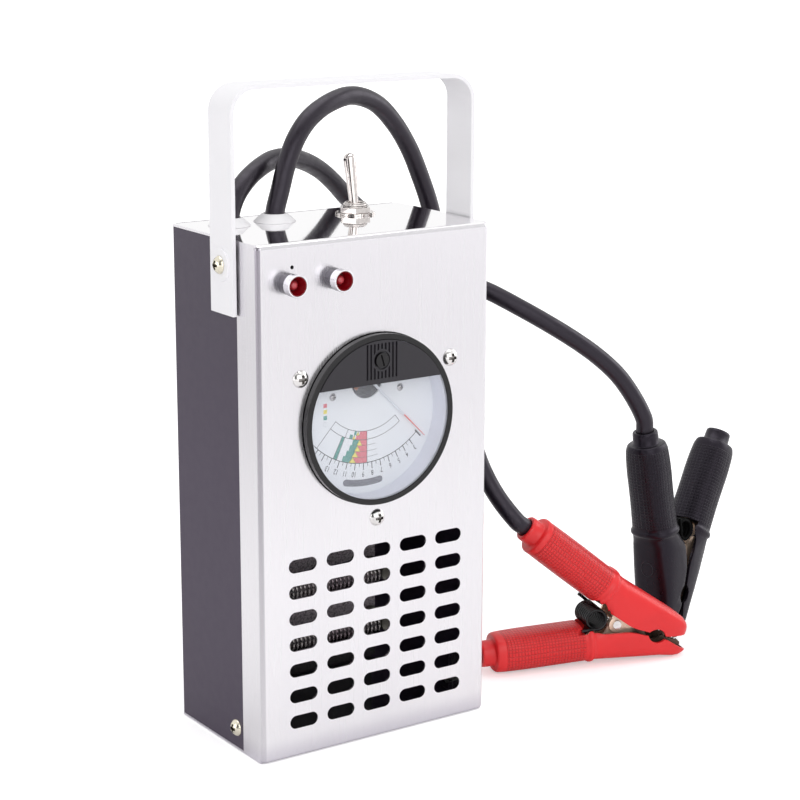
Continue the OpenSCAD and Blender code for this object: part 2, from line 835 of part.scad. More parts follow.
// Bat lever with a round tip, on a ball below the panel.
module switch_lever() {
    tip_z = lever_rise + case_h - lever_pivot_z;
    tip_r = lever_tip_d / 2;
    color([0.85, 0.85, 0.86])
    at_switch() translate([0, 0, lever_pivot_z]) rotate([-lever_lean, 0, 0]) {
        sphere(r = lever_ball_r);
        cylinder(d = lever_neck_d, h = 9);
        translate([0, 0, 8]) cylinder(d1 = lever_neck_d, d2 = lever_tip_d, h = tip_z - 8 - tip_r);
        translate([0, 0, tip_z - tip_r]) sphere(r = tip_r);
    }
}

// Solder lugs under the switch.
module switch_terminals() {
    color([0.8, 0.75, 0.6])
    at_switch() for (y = [-6, 6])
        block([-2.5, y - 0.5, inner_top_z - switch_deep - 8], [2.5, y + 0.5, inner_top_z - switch_deep]);
}

// ------------------------------------------------------- clamp placement

// A clamp half's grip starts here, in length and height from its rivet.
grip_start = [11.5, 15.6];
grip_tilt = 20.5;
collar_l = 7;
collar_d = cable_d + 4.6;
nose_x = -jaw_l + 5;
nose_z = 11;

// A point turned about X, Y and Z in that order.
function about_x(p, a) = [p[0], p[1] * cos(a) - p[2] * sin(a), p[1] * sin(a) + p[2] * cos(a)];
function about_y(p, a) = [p[0] * cos(a) + p[2] * sin(a), p[1], -p[0] * sin(a) + p[2] * cos(a)];
function about_z(p, a) = [p[0] * cos(a) - p[1] * sin(a), p[0] * sin(a) + p[1] * cos(a), p[2]];
function turned(p, a) = about_z(about_y(about_x(p, a[0]), a[1]), a[2]);

// The red clamp lies on one grip and its nose: these two lowest points set
// its slope, and its rivet's height follows.
rest_grip = [grip_start[0] + (grip_l_free - 2) * cos(grip_tilt) - grip_end_d / 2 * sin(grip_tilt),
    grip_start[1] + (grip_l_free - 2) * sin(grip_tilt) + grip_end_d / 2 * cos(grip_tilt)];
red_slope = atan((rest_grip[1] - nose_z - 0.1) / (rest_grip[0] - nose_x));
red_rivet_z = (nose_z + 0.1) * cos(red_slope) - nose_x * sin(red_slope);
red_at = [166.4, -19.3, red_rivet_z];
red_turn = [0, -red_slope, 163.3];

// The black clamp stands on its tips behind the red one.
black_at = [225, 2, 45.5];
black_turn = [-14.4, -77.2, 27.4];

module place_red() { translate(red_at) rotate(red_turn) children(); }

module place_black() { translate(black_at) rotate(black_turn) children(); }

// Point on the axis of a clamp's cable grip, past the collar's mouth.
function past_collar(at, turn, l) =
    let (along = grip_l_cable + collar_l + l)
    at + turned([grip_start[0] + along * cos(grip_tilt), 0, grip_start[1] + along * sin(grip_tilt)], turn);

// ----------------------------------------------------- cables and inlets

grommet_neck_r = cable_d / 2 + 2.2;
grommet_bore_r = cable_d / 2 + seat;
lug_top_z = case_h - 24;
lug_w = 12;
lug_t = 2;
post_z = lug_top_z - 24;
post_d = 5;
board_front_y = cable_y + lug_t + 0.05;
board_t = 6;
board_low_z = post_z - 12;
board_high_z = post_z + 9;

// Centre lines of the two cables, from the lugs inside the case to the clamps.
red_route = [
    [red_cable_x, cable_y, lug_top_z], [red_cable_x, cable_y, case_h - 10],
    [red_cable_x, cable_y, case_h + 3], [-16, 20, 265], [-11, 22, 277], [-4, 24, 289],
    [6, 27, 298], [20, 31, 304], [36, 36, 306], [53, 41, 301], [67, 45, 290], [79, 49, 276],
    [88, 52, 261], [95, 53, 245], [99, 52, 228], [101, 48, 211], [102, 43, 194],
    [101, 36, 177], [100, 30, 160], [99, 24, 143], [99, 19, 126], [102, 14, 110], [107, 7, 95],
    past_collar(red_at, red_turn, 7),
    past_collar(red_at, red_turn, 0), past_collar(red_at, red_turn, -16)
];
black_route = [
    [black_cable_x, cable_y, lug_top_z], [black_cable_x, cable_y, case_h - 10],
    [black_cable_x, cable_y, case_h + 3], [-41, 21, 262], [-33, 25, 269], [-22, 31, 274],
    [-8, 39, 277], [6, 46, 276], [20, 54, 272], [33, 61, 266], [45, 67, 258], [56, 72, 249],
    [68, 75, 240], [81, 75, 231], [94, 71, 221], [106, 63, 211], [117, 53, 202],
    [128, 42, 196], [140, 32, 188], [152, 25, 180], [165, 19, 171], [178, 14, 161],
    [189, 9, 150], [197, 5, 138],
    past_collar(black_at, black_turn, 8), past_collar(black_at, black_turn, 0),
    past_collar(black_at, black_turn, -16)
];

// Rubber grommets, coned above the top and flanged below it.
module grommets() {
    color([0.82, 0.82, 0.84])
    for (x = [red_cable_x, black_cable_x])
        translate([x, cable_y, 0]) difference() {
            union() {
                translate([0, 0, case_h]) cylinder(d1 = grommet_d, d2 = grommet_d * 0.58, h = grommet_h);
                translate([0, 0, inner_top_z - 1]) cylinder(r = grommet_neck_r, h = sheet + 2);
                translate([0, 0, inner_top_z - 2.6]) cylinder(r = grommet_neck_r + 2.2, h = 2.6 - seat / 2);
            }
            translate([0, 0, inner_top_z - 4]) cylinder(r = grommet_bore_r, h = grommet_h + 8);
        }
}

module cable_red() { color([0.12, 0.11, 0.13]) tube(smooth(red_route, 2), cable_d, 10); }

module cable_black() { color([0.12, 0.11, 0.13]) tube(smooth(black_route, 2), cable_d, 10); }

// Crimped ring lugs on the ends inside the case.
module cable_lugs() {
    color([0.8, 0.6, 0.4])
    for (x = [red_cable_x, black_cable_x])
        translate([x, cable_y, 0]) difference() {
            union() {
                translate([0, 0, lug_top_z - 13]) cylinder(d = cable_d, h = 13);
                block([-lug_w / 2, 0, post_z], [lug_w / 2, lug_t, lug_top_z - 9]);
                translate([0, 0, post_z]) to_back() cylinder(d = lug_w, h = lug_t);
            }
            translate([0, -cable_d, post_z]) to_back() cylinder(d = post_d + 0.3, h = 2 * cable_d);
        }
}

// Insulating board that holds the cable studs.
module terminal_board() {
    color([0.45, 0.28, 0.16])
    difference() {
        block([black_cable_x - 14, board_front_y, board_low_z],
            [red_cable_x + 14, board_front_y + board_t, board_high_z]);
        for (x = [red_cable_x, black_cable_x])
            translate([x, board_front_y - past, post_z]) to_back() cylinder(d = post_d + 0.2, h = board_t + 2 * past);
        for (x = board_screw_x)
            translate([x, board_front_y - past, board_low_z + 5]) to_back() cylinder(d = 3.2, h = board_t + 2 * past);
    }
}

board_screw_x = [black_cable_x - 9, (black_cable_x + red_cable_x) / 2, red_cable_x + 9];

// Spacers that stand the board off the back, with their screws.
module board_spacers() {
    color([0.78, 0.78, 0.75])
    for (x = board_screw_x)
        translate([x, board_front_y, board_low_z + 5]) to_back() {
            translate([0, 0, -1.8]) cylinder(d = 5.6, h = 1.8 - 0.05);
            translate([0, 0, -0.5]) cylinder(d = 3, h = board_t + 1);
            translate([0, 0, board_t + 0.05]) cylinder(d = 7, h = inner_back_y - board_front_y - board_t - 0.15);
        }
}

// Brass studs with nuts in front of the lugs.
module terminal_studs() {
    color([0.82, 0.66, 0.3])
    for (x = [red_cable_x, black_cable_x])
        translate([x, cable_y, post_z]) {
            translate([0, board_t + lug_t + 1.6, 0]) to_front() cylinder(d = post_d, h = board_t + lug_t + 10);
            translate([0, board_t + lug_t + 0.15, 0]) to_back() cylinder(d = 9, h = 3);
            translate([0, -0.05, 0]) to_front() hex_nut(8, 4, post_d - 0.4);
        }
}

// -------------------------------------------------- load resistors inside

element_x0 = -side_x + 5;
element_x1 = element_x0 + coil_l + 14;
bracket_y = -9.5;
element_board_t = 3;
coil_y = bracket_y - element_board_t - 11.5;
coil_x0 = element_x0 + 7;
bolt_d = 5;
coil_tail = 1.2;
bolt_x = [coil_x0 - bolt_d / 2 - coil_tail, coil_x0 + coil_l + bolt_d / 2 + coil_tail];
element_high_z = coil_z + coil_pitch_z + 19;
bolt_back_y = bracket_y + 5;

// Folded bracket that stands on the floor of the case.
module element_bracket() {
    color([0.6, 0.6, 0.6])
    difference() {
        union() {
            block([element_x0, bracket_y, sheet], [element_x1, bracket_y + 24, sheet + 1.5]);
            block([element_x0, bracket_y, sheet], [element_x1, bracket_y + 1.5, element_high_z - 4]);
            block([element_x0, bracket_y - 16, sheet + 26], [element_x1, bracket_y, sheet + 27.5]);
        }
        bolt_holes(bolt_d / 2 + 1.2);
    }
}

module bolt_holes(r) {
    for (x = bolt_x, z = [coil_z, coil_z + coil_pitch_z])
        translate([x, bracket_y - element_board_t - past, z]) to_back()
            cylinder(r = r, h = element_board_t + 1.5 + 2 * past);
}

// Grey heat-proof board behind the coils.
module element_board() {
    color([0.55, 0.55, 0.57])
    difference() {
        block([element_x0, bracket_y - element_board_t, sheet + 30],
            [element_x1, bracket_y, element_high_z]);
        bolt_holes(bolt_d / 2 + seat);
    }
}

// Bolts that hold the coils' ends, with a collar at the board.
module coil_bolts() {
    reach = bracket_y - element_board_t - coil_y;
    color([0.75, 0.7, 0.6])
    for (x = bolt_x, z = [coil_z, coil_z + coil_pitch_z])
        translate([x, bracket_y - element_board_t, z]) to_front() {
            translate([0, 0, -element_board_t - 5]) cylinder(d = bolt_d, h = element_board_t + 5 + reach + 3);
            cylinder(d = bolt_d + 4, h = 3);
            translate([0, 0, reach + 3]) cylinder(d = bolt_d + 2.5, h = 2.2);
        }
}

// Two coils of resistance wire, each with a straight end at both bolts.
module resistor_coils() {
    r = (coil_d - coil_wire_d) / 2;
    color([0.5, 0.48, 0.46])
    for (z = [coil_z, coil_z + coil_pitch_z])
        translate([coil_x0, coil_y, z])
            tube(concat([[0.05 - coil_tail, r, 0]], helix(r, coil_l, coil_turns, 12),
                [[coil_l + coil_tail - 0.05, r, 0]]),
                coil_wire_d, 5);
}

// ------------------------------------------------------- leads inside

module lead(points, d) { tube(smooth(points, 2), d, 6); }

// Ends of a bolt's lead, square to its end face.
function from_bolt(x, z) = [for (l = [0.05, 4, 8]) [x, bolt_back_y + l, z]];
function onto_bolt(x, z) = [for (l = [8, 4, 0.05]) [x, bolt_back_y + l, z]];

// The same for a lead that meets a switch lug from below.
function onto_lug(x, y, z) = [for (l = [8, 4, 0.05]) [x, y, z - l]];
function from_lug(x, y, z) = [for (l = [0.05, 4, 8]) [x, y, z - l]];

// Heavy leads: lug to coils, lug to switch, switch to coils, coil to coil.
module load_leads() {
    lug_z = inner_top_z - switch_deep - 8;
    high_z = coil_z + coil_pitch_z;
    color([0.2, 0.2, 0.22]) {
        lead(concat([[black_cable_x, cable_y - 10.2, post_z], [black_cable_x - 2, 4, post_z - 12],
            [black_cable_x - 7, 3, post_z - 42], [bolt_x[0] + 0.7, 2, high_z + 41],
            [bolt_x[0], 3, high_z + 13]], onto_bolt(bolt_x[0], high_z)), 3);
        lead(concat([[red_cable_x, cable_y - 10.2, post_z], [red_cable_x + 6, 4, post_z - 3],
            [red_cable_x + 20, 6, post_z - 2], [switch_x - 3, switch_y - 6, lug_z - 12]],
            onto_lug(switch_x, switch_y - 6, lug_z)), 3);
        lead(concat(from_lug(switch_x, switch_y + 6, lug_z),
            [[switch_x + 1, switch_y - 1, post_z - 42], [switch_x - 21, 10, high_z + 29],
            [coil_x0 + 15, 9, coil_z + 19], [bolt_x[0] + 3, 8, coil_z + 6]],
            onto_bolt(bolt_x[0], coil_z)), 3);
        lead(concat(from_bolt(bolt_x[1], coil_z), [[bolt_x[1] + 2, 6, coil_z + coil_pitch_z / 2]],
            onto_bolt(bolt_x[1], high_z)), 3);
    }
}

// Thin leads from the meter's studs to the cable studs.
module meter_leads() {
    z = meter_z + stud_at[1];
    stud_back_y = movement_back_y + 13;
    color([0.7, 0.1, 0.1])
    for (end = [[stud_at[0], red_cable_x], [-stud_at[0], black_cable_x]])
        lead(concat([for (l = [0.05, 2, 4]) [end[0], stud_back_y + l, z]],
            [[(end[0] * 3 + end[1]) / 4, 5, z + 18], [(end[0] + end[1]) / 2, 6, z + 32],
                [end[1], 12, post_z - 5.2]]), 1.6);
}

// Thin leads from the lamps.
module led_leads() {
    color([0.75, 0.1, 0.1])
    for (x = led_x)
        lead([[x + 1.27, front_y + 12.2, led_z], [x + 2, front_y + 20, led_z - 2],
            [x + 3, front_y + 34, led_z - 6], [x + 2, 6, post_z + 16], [x, 12, post_z + 10]], 1.4);
}

// ----------------------------------------------------------------- clamps
// A half is drawn with its rivet at the origin, its handle towards +X, its
// outside towards +Z and its width along Y.

back_slope = 16.3;
back_at_rivet = 22;
bead = 0.9;
notch_at = [-23.3, -2.4];
notch_r = 6.2;
// The rivet and the mouth lie a little to the free half's side.
mouth_z = -1.7;
// The cable half's cover is shorter at its tip.
tip_short = 3;

// Height of the sleeve's back over the jaw, at a distance from the rivet.
function back_z(x) = back_at_rivet + x * tan(back_slope);

// Signed power, for rounded oblongs.
function spow(v, p) = sign(v) * pow(abs(v), p);

// Rounded section across a sleeve: centre in X and Z, tilt, half width,
// height above and below the centre, and how square it is.
function section(at, tilt, half, up, down, square_by) = [
    for (k = [0 : 15])
        let (c = cos(22.5 * k), s = sin(22.5 * k), n = spow(s, 2 / square_by) * (s > 0 ? up : down))
        [at[0] - n * sin(tilt), half * spow(c, 2 / square_by), at[1] + n * cos(tilt)]
];

// Section of the grip at a distance along it.
function grip_section(along, w, t) =
    section(grip_start + along * [cos(grip_tilt), sin(grip_tilt)], grip_tilt, w / 2, t / 2, t / 2, 2.6);

// Section of the jaw's sleeve, smaller by inset for its inside.
function jaw_section(x, half, top, inset) =
    section([x, 2], 0, half - inset, top - 2 - inset, 6 + inset, 4);

// Places children on the grip's axis, pointing to its end.
module on_grip(along) {
    translate([grip_start[0] + along * cos(grip_tilt), 0, grip_start[1] + along * sin(grip_tilt)])
        rotate([0, 90 - grip_tilt, 0]) children();
}

// Sections of the sleeve over the jaw, from its tip to near the rivet.
function jaw_sections(inset, short) =
    let (h = cover_w / 2)
    [
        jaw_section(-jaw_l + short + inset, h - 6.2, 6.6, inset),
        jaw_section(-jaw_l + short + 1.8 + inset / 2, h - 3.7, nose_z - 2, inset),
        jaw_section(nose_x + short, h - 2.2, nose_z + 0.1, inset),
        jaw_section(nose_x + 10, h - 1, back_z(nose_x + 10), inset),
        jaw_section(-10, h, back_z(-10), inset),
        jaw_section(2, h, back_z(2), inset)
    ];

// Side view of what the mouth's edge cuts away, from the tip to the ring.
module mouth_outline() {
    polygon([
        [-jaw_l - 5, -20], [-jaw_l - 5, 4.8], [-jaw_l, 4.6], [-36.5, 2.6], [-31, 1.1],
        [-27, 0.9], [-17, 1.1], [-7.5, 1.5], [-2, 3], [3, 4.6], [8, 6], [11, 6.4], [12, -20]
    ]);
    translate(notch_at) circle(r = notch_r);
}

// Soft sleeve: grip, ring and jaw cover in one moulding.
module grip_sleeve(grip_l, cabled) {
    tang_w = 2 * ((cabled ? cable_cheek : free_cheek) + jaw_plate);
    short = cabled ? tip_short : 0;
    mid = cabled ? mouth_z : -mouth_z;
    difference() {
        union() {
            loft(concat(jaw_sections(0, short), [
                grip_section(-2.2, grip_w, grip_t),
                grip_section(-1, grip_w + 2 * bead, grip_t + 2 * bead),
                grip_section(1, grip_w + 2 * bead, grip_t + 2 * bead),
                grip_section(2, grip_w, grip_t),
                grip_section(grip_l * 0.5, grip_w - 1, grip_t + 0.3),
                grip_section(grip_l - 2, grip_end_d, grip_end_d),
                grip_section(grip_l, grip_end_d - 2.4, grip_end_d - 2.4)
            ]));
            on_grip(grip_l - 1) cylinder(d = collar_d, h = collar_l + 1);
        }
        loft(concat(jaw_sections(sleeve_wall, short),
            [jaw_section(8.5, cover_w / 2, back_z(8.5) - 0.5, sleeve_wall)]));
        translate([0, 0, mid]) rotate([90, 0, 0]) linear_extrude(2 * cover_w, center = true) mouth_outline();
        if (cabled)
            on_grip(tang_l - 1) cylinder(d = cable_d + 2 * seat, h = grip_l);
        else
            on_grip(grip_l - 4) cylinder(d = collar_d - 4, h = collar_l + 8);
        on_grip(0) block([-tang_t / 2 - seat, -tang_w / 2 - seat, -12],
            [tang_t / 2 + seat, tang_w / 2 + seat, tang_l + seat]);
        translate([0, 0, mid]) spring_pocket(cabled ? -1 : 1);
    }
}

// Room for the spring's coil and one leg as the handles close, in side view.
coil_room = [
    [5.5, -8], [3.9, 5], [5.2, 9.6], [8, 12.3], [11, 13], [14.3, 12.4], [17, 10], [19, 5.5], [19.6, -8]
];
leg_room = [[11, 1], [20.5, 5.5], [21.3, 8.5], [19, 13.5], [14.5, 18], [11.5, 18], [6.2, 9.6]];

module spring_pocket(side) {
    upright(0, spring_half + 0.9 * spring_wire) polygon(coil_room);
    upright(side * spring_half, spring_wire * 0.75) polygon(leg_room);
}

// Prism of a side view, centred on y, reaching half to both sides.
module upright(y, half) { translate([0, y, 0]) rotate([90, 0, 0]) linear_extrude(2 * half, center = true) children(); }

tang_l = 28;
tang_t = 8;
ear_r = 4.4;
plate_drop = 5.2;

// A jaw's cheek, with the ear round the rivet and teeth near its tip; its
// lower edge follows the mouth's height.
module cheek(y, short, mid) {
    tip_x = nose_x - 1 + short;
    tip_top = back_z(tip_x) - plate_drop;
    difference() {
        union() {
            upright(y, jaw_plate / 2) polygon([
                [tip_x, min(mid + 2.6, tip_top - 1)], [tip_x, tip_top], [8.2, back_z(8.2) - plate_drop],
                [8.2, mid + 8], [3.6, mid + 2.5], [1, mid - 3], [-4, mid - 1.5], [-9, mid + 0.3],
                [tip_x + 2.5, mid + 0.3], [tip_x + 0.8, mid + 1.2]
            ]);
            translate([0, 0, mid]) upright(y, jaw_plate / 2) circle(r = ear_r);
        }
        translate([0, 0, mid]) {
            upright(y, jaw_plate) circle(d = rivet_d + 2 * running_gap);
            translate([notch_at[0], 0, notch_at[1]]) upright(y, jaw_plate) circle(r = notch_r - 0.4);
            for (i = [0 : 3])
                translate([tip_x + 3.5 + 2.1 * i, 0, 0.1]) upright(y, jaw_plate) circle(r = 0.8, $fn = 16);
        }
    }
}

// Plated steel jaw: two cheeks, a back plate and a tang in the grip.
module jaw(cheek_in, short, mid) {
    half = cheek_in + jaw_plate;
    end_x = nose_x + short;
    slope_l = (8 - end_x) / cos(back_slope);
    difference() {
        union() {
            for (side = [-1, 1]) cheek(side * (cheek_in + jaw_plate / 2), short, mid);
            translate([end_x, 0, back_z(end_x) - plate_drop]) rotate([0, -back_slope, 0])
                block([0, -half + 0.4, -jaw_plate], [slope_l, half - 0.4, -seat]);
            on_grip(0) block([-tang_t / 2, 0.6 - half, -7], [-tang_t / 2 + jaw_plate, half - 0.6, tang_l]);
            on_grip(0) for (side = [-1, 1]) translate([0, side * (half - 0.2 - jaw_plate / 2), 0])
                block([-tang_t / 2, -jaw_plate / 2, -7], [tang_t / 2, jaw_plate / 2, tang_l]);
        }
        translate([0, 0, mid]) upright(0, half + past) polygon(coil_room);
    }
}

cable_cheek = 6.6;
free_cheek = cable_cheek - jaw_plate - 0.2;

spring_x = 12.5;
spring_r = 5.3;
spring_wire = 1.8;
spring_turns = 8;
spring_half = 9;
spring_leg = 7;
spring_rise = 22;
jaw_opening = 28;

// Coiled spring between the handles, behind the rivet.
module clamp_spring() {
    steps = spring_turns * 12 + 6;
    leg_x = spring_leg * cos(spring_rise);
    leg_z = spring_r + spring_leg * sin(spring_rise);
    translate([spring_x, 0, mouth_z])
        tube(concat(
            [[leg_x, -spring_half, leg_z]],
            [for (i = [0 : steps])
                [-spring_r * sin(30 * i), -spring_half + 2 * spring_half * i / steps, spring_r * cos(30 * i)]],
            [[leg_x, spring_half, -leg_z]]), spring_wire, 6);
}

// Rivet with peened heads through both jaws.
module clamp_rivet() {
    head_at = cable_cheek + jaw_plate + 0.05;
    translate([0, head_at + 0.5, mouth_z]) rotate([90, 0, 0]) cylinder(d = rivet_d, h = 2 * head_at + 1);
    for (side = [-1, 1])
        translate([0, side * head_at, mouth_z]) rotate([-90 * side, 0, 0])
            cylinder(d = rivet_d + 0.8, h = 0.9);
}

module free_side() { mirror([0, 0, 1]) children(); }

red_sleeve = [0.88, 0.17, 0.19];
black_sleeve = [0.16, 0.15, 0.17];
jaw_copper = [0.85, 0.6, 0.45];

module red_cable_grip() { color(red_sleeve) place_red() grip_sleeve(grip_l_cable, true); }
module red_free_grip() { color(red_sleeve) place_red() free_side() grip_sleeve(grip_l_free, false); }
module red_cable_jaw() { color(jaw_copper) place_red() jaw(cable_cheek, tip_short, mouth_z); }
module red_free_jaw() { color(jaw_copper) place_red() free_side() jaw(free_cheek, 0, -mouth_z); }
module red_spring() { color([0.1, 0.1, 0.1]) place_red() clamp_spring(); }
module red_rivet() { color([0.85, 0.85, 0.85]) place_red() clamp_rivet(); }
module black_cable_grip() { color(black_sleeve) place_black() grip_sleeve(grip_l_cable, true); }
module black_free_grip() { color(black_sleeve) place_black() free_side() grip_sleeve(grip_l_free, false); }
module black_cable_jaw() { color(jaw_copper) place_black() jaw(cable_cheek, tip_short, mouth_z); }
module black_free_jaw() { color(jaw_copper) place_black() free_side() jaw(free_cheek, 0, -mouth_z); }
module black_spring() { color([0.1, 0.1, 0.1]) place_black() clamp_spring(); }
module black_rivet() { color([0.85, 0.85, 0.85]) place_black() clamp_rivet(); }

front_cover();
rear_shell();
case_screws();
case_nuts();
handle();
handle_screws();
handle_washers();
meter_case();
meter_liner();
meter_window();
meter_cap();
zero_adjuster();
dial_plate();
dial_screws();
pivot_bridge();
needle();
moving_coil();
magnet_yoke();
meter_studs();
meter_screws();
meter_screw_nuts();
led_bezels();
led_reflectors();
leds();
led_nuts();
switch_body();
switch_bushing();
switch_washer();
switch_nut();
switch_lever();
switch_terminals();
grommets();
cable_red();
cable_black();
cable_lugs();
terminal_board();
board_spacers();
terminal_studs();
element_bracket();
element_board();
coil_bolts();
resistor_coils();
load_leads();
meter_leads();
led_leads();
red_cable_grip();
red_free_grip();
red_cable_jaw();
red_free_jaw();
red_spring();
red_rivet();
black_cable_grip();
black_free_grip();
black_cable_jaw();
black_free_jaw();
black_spring();
black_rivet();
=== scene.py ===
# Hand-held battery load tester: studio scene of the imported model, in metres.
# Numbers given in millimetres are turned into metres by mm() and MM.
import math

import bmesh
import bpy
from mathutils import Matrix, Vector
from mathutils.bvhtree import BVHTree


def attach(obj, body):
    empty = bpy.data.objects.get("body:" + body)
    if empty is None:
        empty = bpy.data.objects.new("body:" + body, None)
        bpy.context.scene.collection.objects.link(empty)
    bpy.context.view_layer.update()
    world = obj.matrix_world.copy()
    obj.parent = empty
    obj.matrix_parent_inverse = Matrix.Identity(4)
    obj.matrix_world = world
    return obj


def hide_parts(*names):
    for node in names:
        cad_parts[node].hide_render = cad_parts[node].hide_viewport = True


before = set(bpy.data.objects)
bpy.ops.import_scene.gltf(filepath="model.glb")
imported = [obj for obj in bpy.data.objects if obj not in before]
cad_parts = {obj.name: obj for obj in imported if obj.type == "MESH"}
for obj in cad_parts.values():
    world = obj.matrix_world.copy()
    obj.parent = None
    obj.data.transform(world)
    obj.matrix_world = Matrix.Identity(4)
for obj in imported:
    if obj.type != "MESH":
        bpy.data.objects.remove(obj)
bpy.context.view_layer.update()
MM = 0.001


def mm(*point):
    return Vector(point) * MM


# --- Camera -----------------------------------------------------------------
# Long lens from the front left, a little above the case.

AZIMUTH, ELEVATION, ROLL = -0.599129069, 0.236979576, 0.00264068
CAMERA_AT = mm(-541.4476, -852.198, 406.1887)
LENS = 95.378

camera = bpy.data.objects.new("camera", bpy.data.cameras.new("camera"))
bpy.context.scene.collection.objects.link(camera)
camera.data.sensor_width = 36
camera.data.lens = LENS
camera.data.clip_start, camera.data.clip_end = 0.05, 60
back = Vector((math.sin(AZIMUTH) * math.cos(ELEVATION),
               -math.cos(AZIMUTH) * math.cos(ELEVATION),
               math.sin(ELEVATION)))
level = Vector((0, 0, 1)).cross(back).normalized()
upward = back.cross(level)
right = math.cos(ROLL) * level + math.sin(ROLL) * upward
top = math.cos(ROLL) * upward - math.sin(ROLL) * level
facing = Matrix((right, top, back)).transposed().to_4x4()
camera.matrix_world = Matrix.Translation(CAMERA_AT) @ facing
bpy.context.scene.camera = camera


# --- Shader arithmetic ---------------------------------------------------------
# A Wire is a socket that can be added and multiplied; a Look is a Principled
# material whose varying inputs are made of Wires.


class Wire:
    def __init__(self, tree, socket):
        self.tree, self.socket = tree, socket

    def node(self, kind, inputs, out=0, **options):
        return add_node(self.tree, kind, inputs, out, **options)

    def math(self, operation, *rest):
        return self.node("ShaderNodeMath", dict(enumerate((self, *rest))), operation=operation)

    def __add__(self, other):
        return self.math("ADD", other)

    def __sub__(self, other):
        return self.math("SUBTRACT", other)

    def __mul__(self, other):
        return self.math("MULTIPLY", other)

    __radd__, __rmul__ = __add__, __mul__

    def __rsub__(self, other):
        return (self * -1) + other

    def over(self, low, high, to_low=0.0, to_high=1.0):
        """Eases from to_low at low to to_high at high."""
        return self.node("ShaderNodeMapRange", {0: self, 1: low, 2: high, 3: to_low, 4: to_high},
                         interpolation_type="SMOOTHSTEP")

    def axis(self, name):
        return self.node("ShaderNodeSeparateXYZ", {0: self}, "XYZ".index(name))

    def size(self):
        return self.node("ShaderNodeVectorMath", {0: self}, 1, operation="LENGTH")

    def scaled(self, x, y, z):
        return self.node("ShaderNodeVectorMath", {0: self, 1: (x, y, z)}, operation="MULTIPLY")

    def moved(self, x, y, z):
        return self.node("ShaderNodeVectorMath", {0: self, 1: (x, y, z)}, operation="ADD")

    def noise(self, scale=1.0, detail=2.0, rough=0.5):
        return self.node("ShaderNodeTexNoise", {"Vector": self, "Scale": scale, "Detail": detail,
                                                "Roughness": rough})


def add_node(tree, kind, inputs, out=0, **options):
    made = tree.nodes.new(kind)
    for key, value in options.items():
        setattr(made, key, value)
    for key, value in inputs.items():
        feed(tree, value, made.inputs[key])
    return Wire(tree, made.outputs[out])


def feed(tree, value, socket):
    if isinstance(value, Wire):
        tree.links.new(value.socket, socket)
    elif socket.type == "RGBA" and len(value) == 3:
        socket.default_value = (*value, 1)
    else:
        socket.default_value = value


def shade(color):
    """Linear colour of an sRGB hex code; a tuple is linear already."""
    if isinstance(color, tuple):
        return color
    parts = [int(color[i:i + 2], 16) / 255 for i in (0, 2, 4)]
    return tuple(v / 12.92 if v <= 0.04045 else ((v + 0.055) / 1.055) ** 2.4 for v in parts)


class Look:
    def __init__(self, name, color, **plain):
        self.material = bpy.data.materials.new(name)
        self.material.use_nodes = True
        self.tree = self.material.node_tree
        self.shader = self.tree.nodes["Principled BSDF"]
        self.color = shade(color)
        self.set("Base Color", self.color)
        for key, value in plain.items():
            self.set(key.replace("_", " ").title().replace("Ior", "IOR"), value)
        self.at = self.coords("Object").scaled(1 / MM, 1 / MM, 1 / MM)

    def coords(self, name):
        return Wire(self.tree, self.tree.nodes.new("ShaderNodeTexCoord").outputs[name])

    def path(self, kind):
        return Wire(self.tree, self.tree.nodes.new("ShaderNodeLightPath").outputs[f"Is {kind} Ray"])

    def normal(self):
        return Wire(self.tree, self.tree.nodes.new("ShaderNodeNewGeometry").outputs["Normal"])

    def attribute(self, name):
        return add_node(self.tree, "ShaderNodeAttribute", {}, 1, attribute_name=name)

    def set(self, key, value):
        feed(self.tree, value, self.shader.inputs[key])

    def darker(self, share):
        """The plain colour, times share."""
        return tuple(v * share for v in self.color)

    def tint(self, share, other):
        """Turns part of the colour into other, by share."""
        socket = self.shader.inputs["Base Color"]
        now = Wire(self.tree, socket.links[0].from_socket) if socket.links else self.color
        inputs = {0: share, 6: now, 7: shade(other)}
        self.set("Base Color", add_node(self.tree, "ShaderNodeMix", inputs, 2, data_type="RGBA"))

    def rough(self, value):
        self.set("Roughness", value)

    def relief(self, height, depth, strength=1.0):
        """Bump of a height from 0 to 1, depth deep in millimetres."""
        socket = self.shader.inputs["Normal"]
        inputs = {"Height": height, "Distance": depth * MM, "Strength": strength}
        if socket.links:
            inputs["Normal"] = Wire(self.tree, socket.links[0].from_socket)
        self.set("Normal", add_node(self.tree, "ShaderNodeBump", inputs))


def varied(name, color, rough, spread=0.06, grain=0.9, depth=0.02, dirt=0.12, **plain):
    """A moulded, painted or plated finish: its tone drifts, its gloss is
    patchy, and a fine grain lifts the surface."""
    look = Look(name, color, **plain)
    drift = look.at.noise(0.045, 3)
    look.tint((drift - 0.35) * dirt * 2.5, look.darker(0.72))
    look.rough(look.at.noise(0.22, 4).over(0.3, 0.7, rough - spread, rough + spread))
    if depth:
        look.relief(look.at.noise(grain, 3, 0.6), depth)
    return look


# --- Mesh making -----------------------------------------------------------------
# Pieces are lofted, swept along a route, or taken from the CAD node with eased
# edges.

SHARP = 32


def linked(obj):
    """Puts an object in the scene, unless it is there."""
    if obj.name not in bpy.context.scene.collection.objects:
        bpy.context.scene.collection.objects.link(obj)
    return obj


def rides(obj, body, material, replaced=()):
    """Makes an object a piece: its body, look and replaced nodes."""
    linked(obj)
    obj.data.materials.clear()
    obj.data.materials.append(material.material)
    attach(obj, body)
    if replaced:
        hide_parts(*replaced)
    return obj


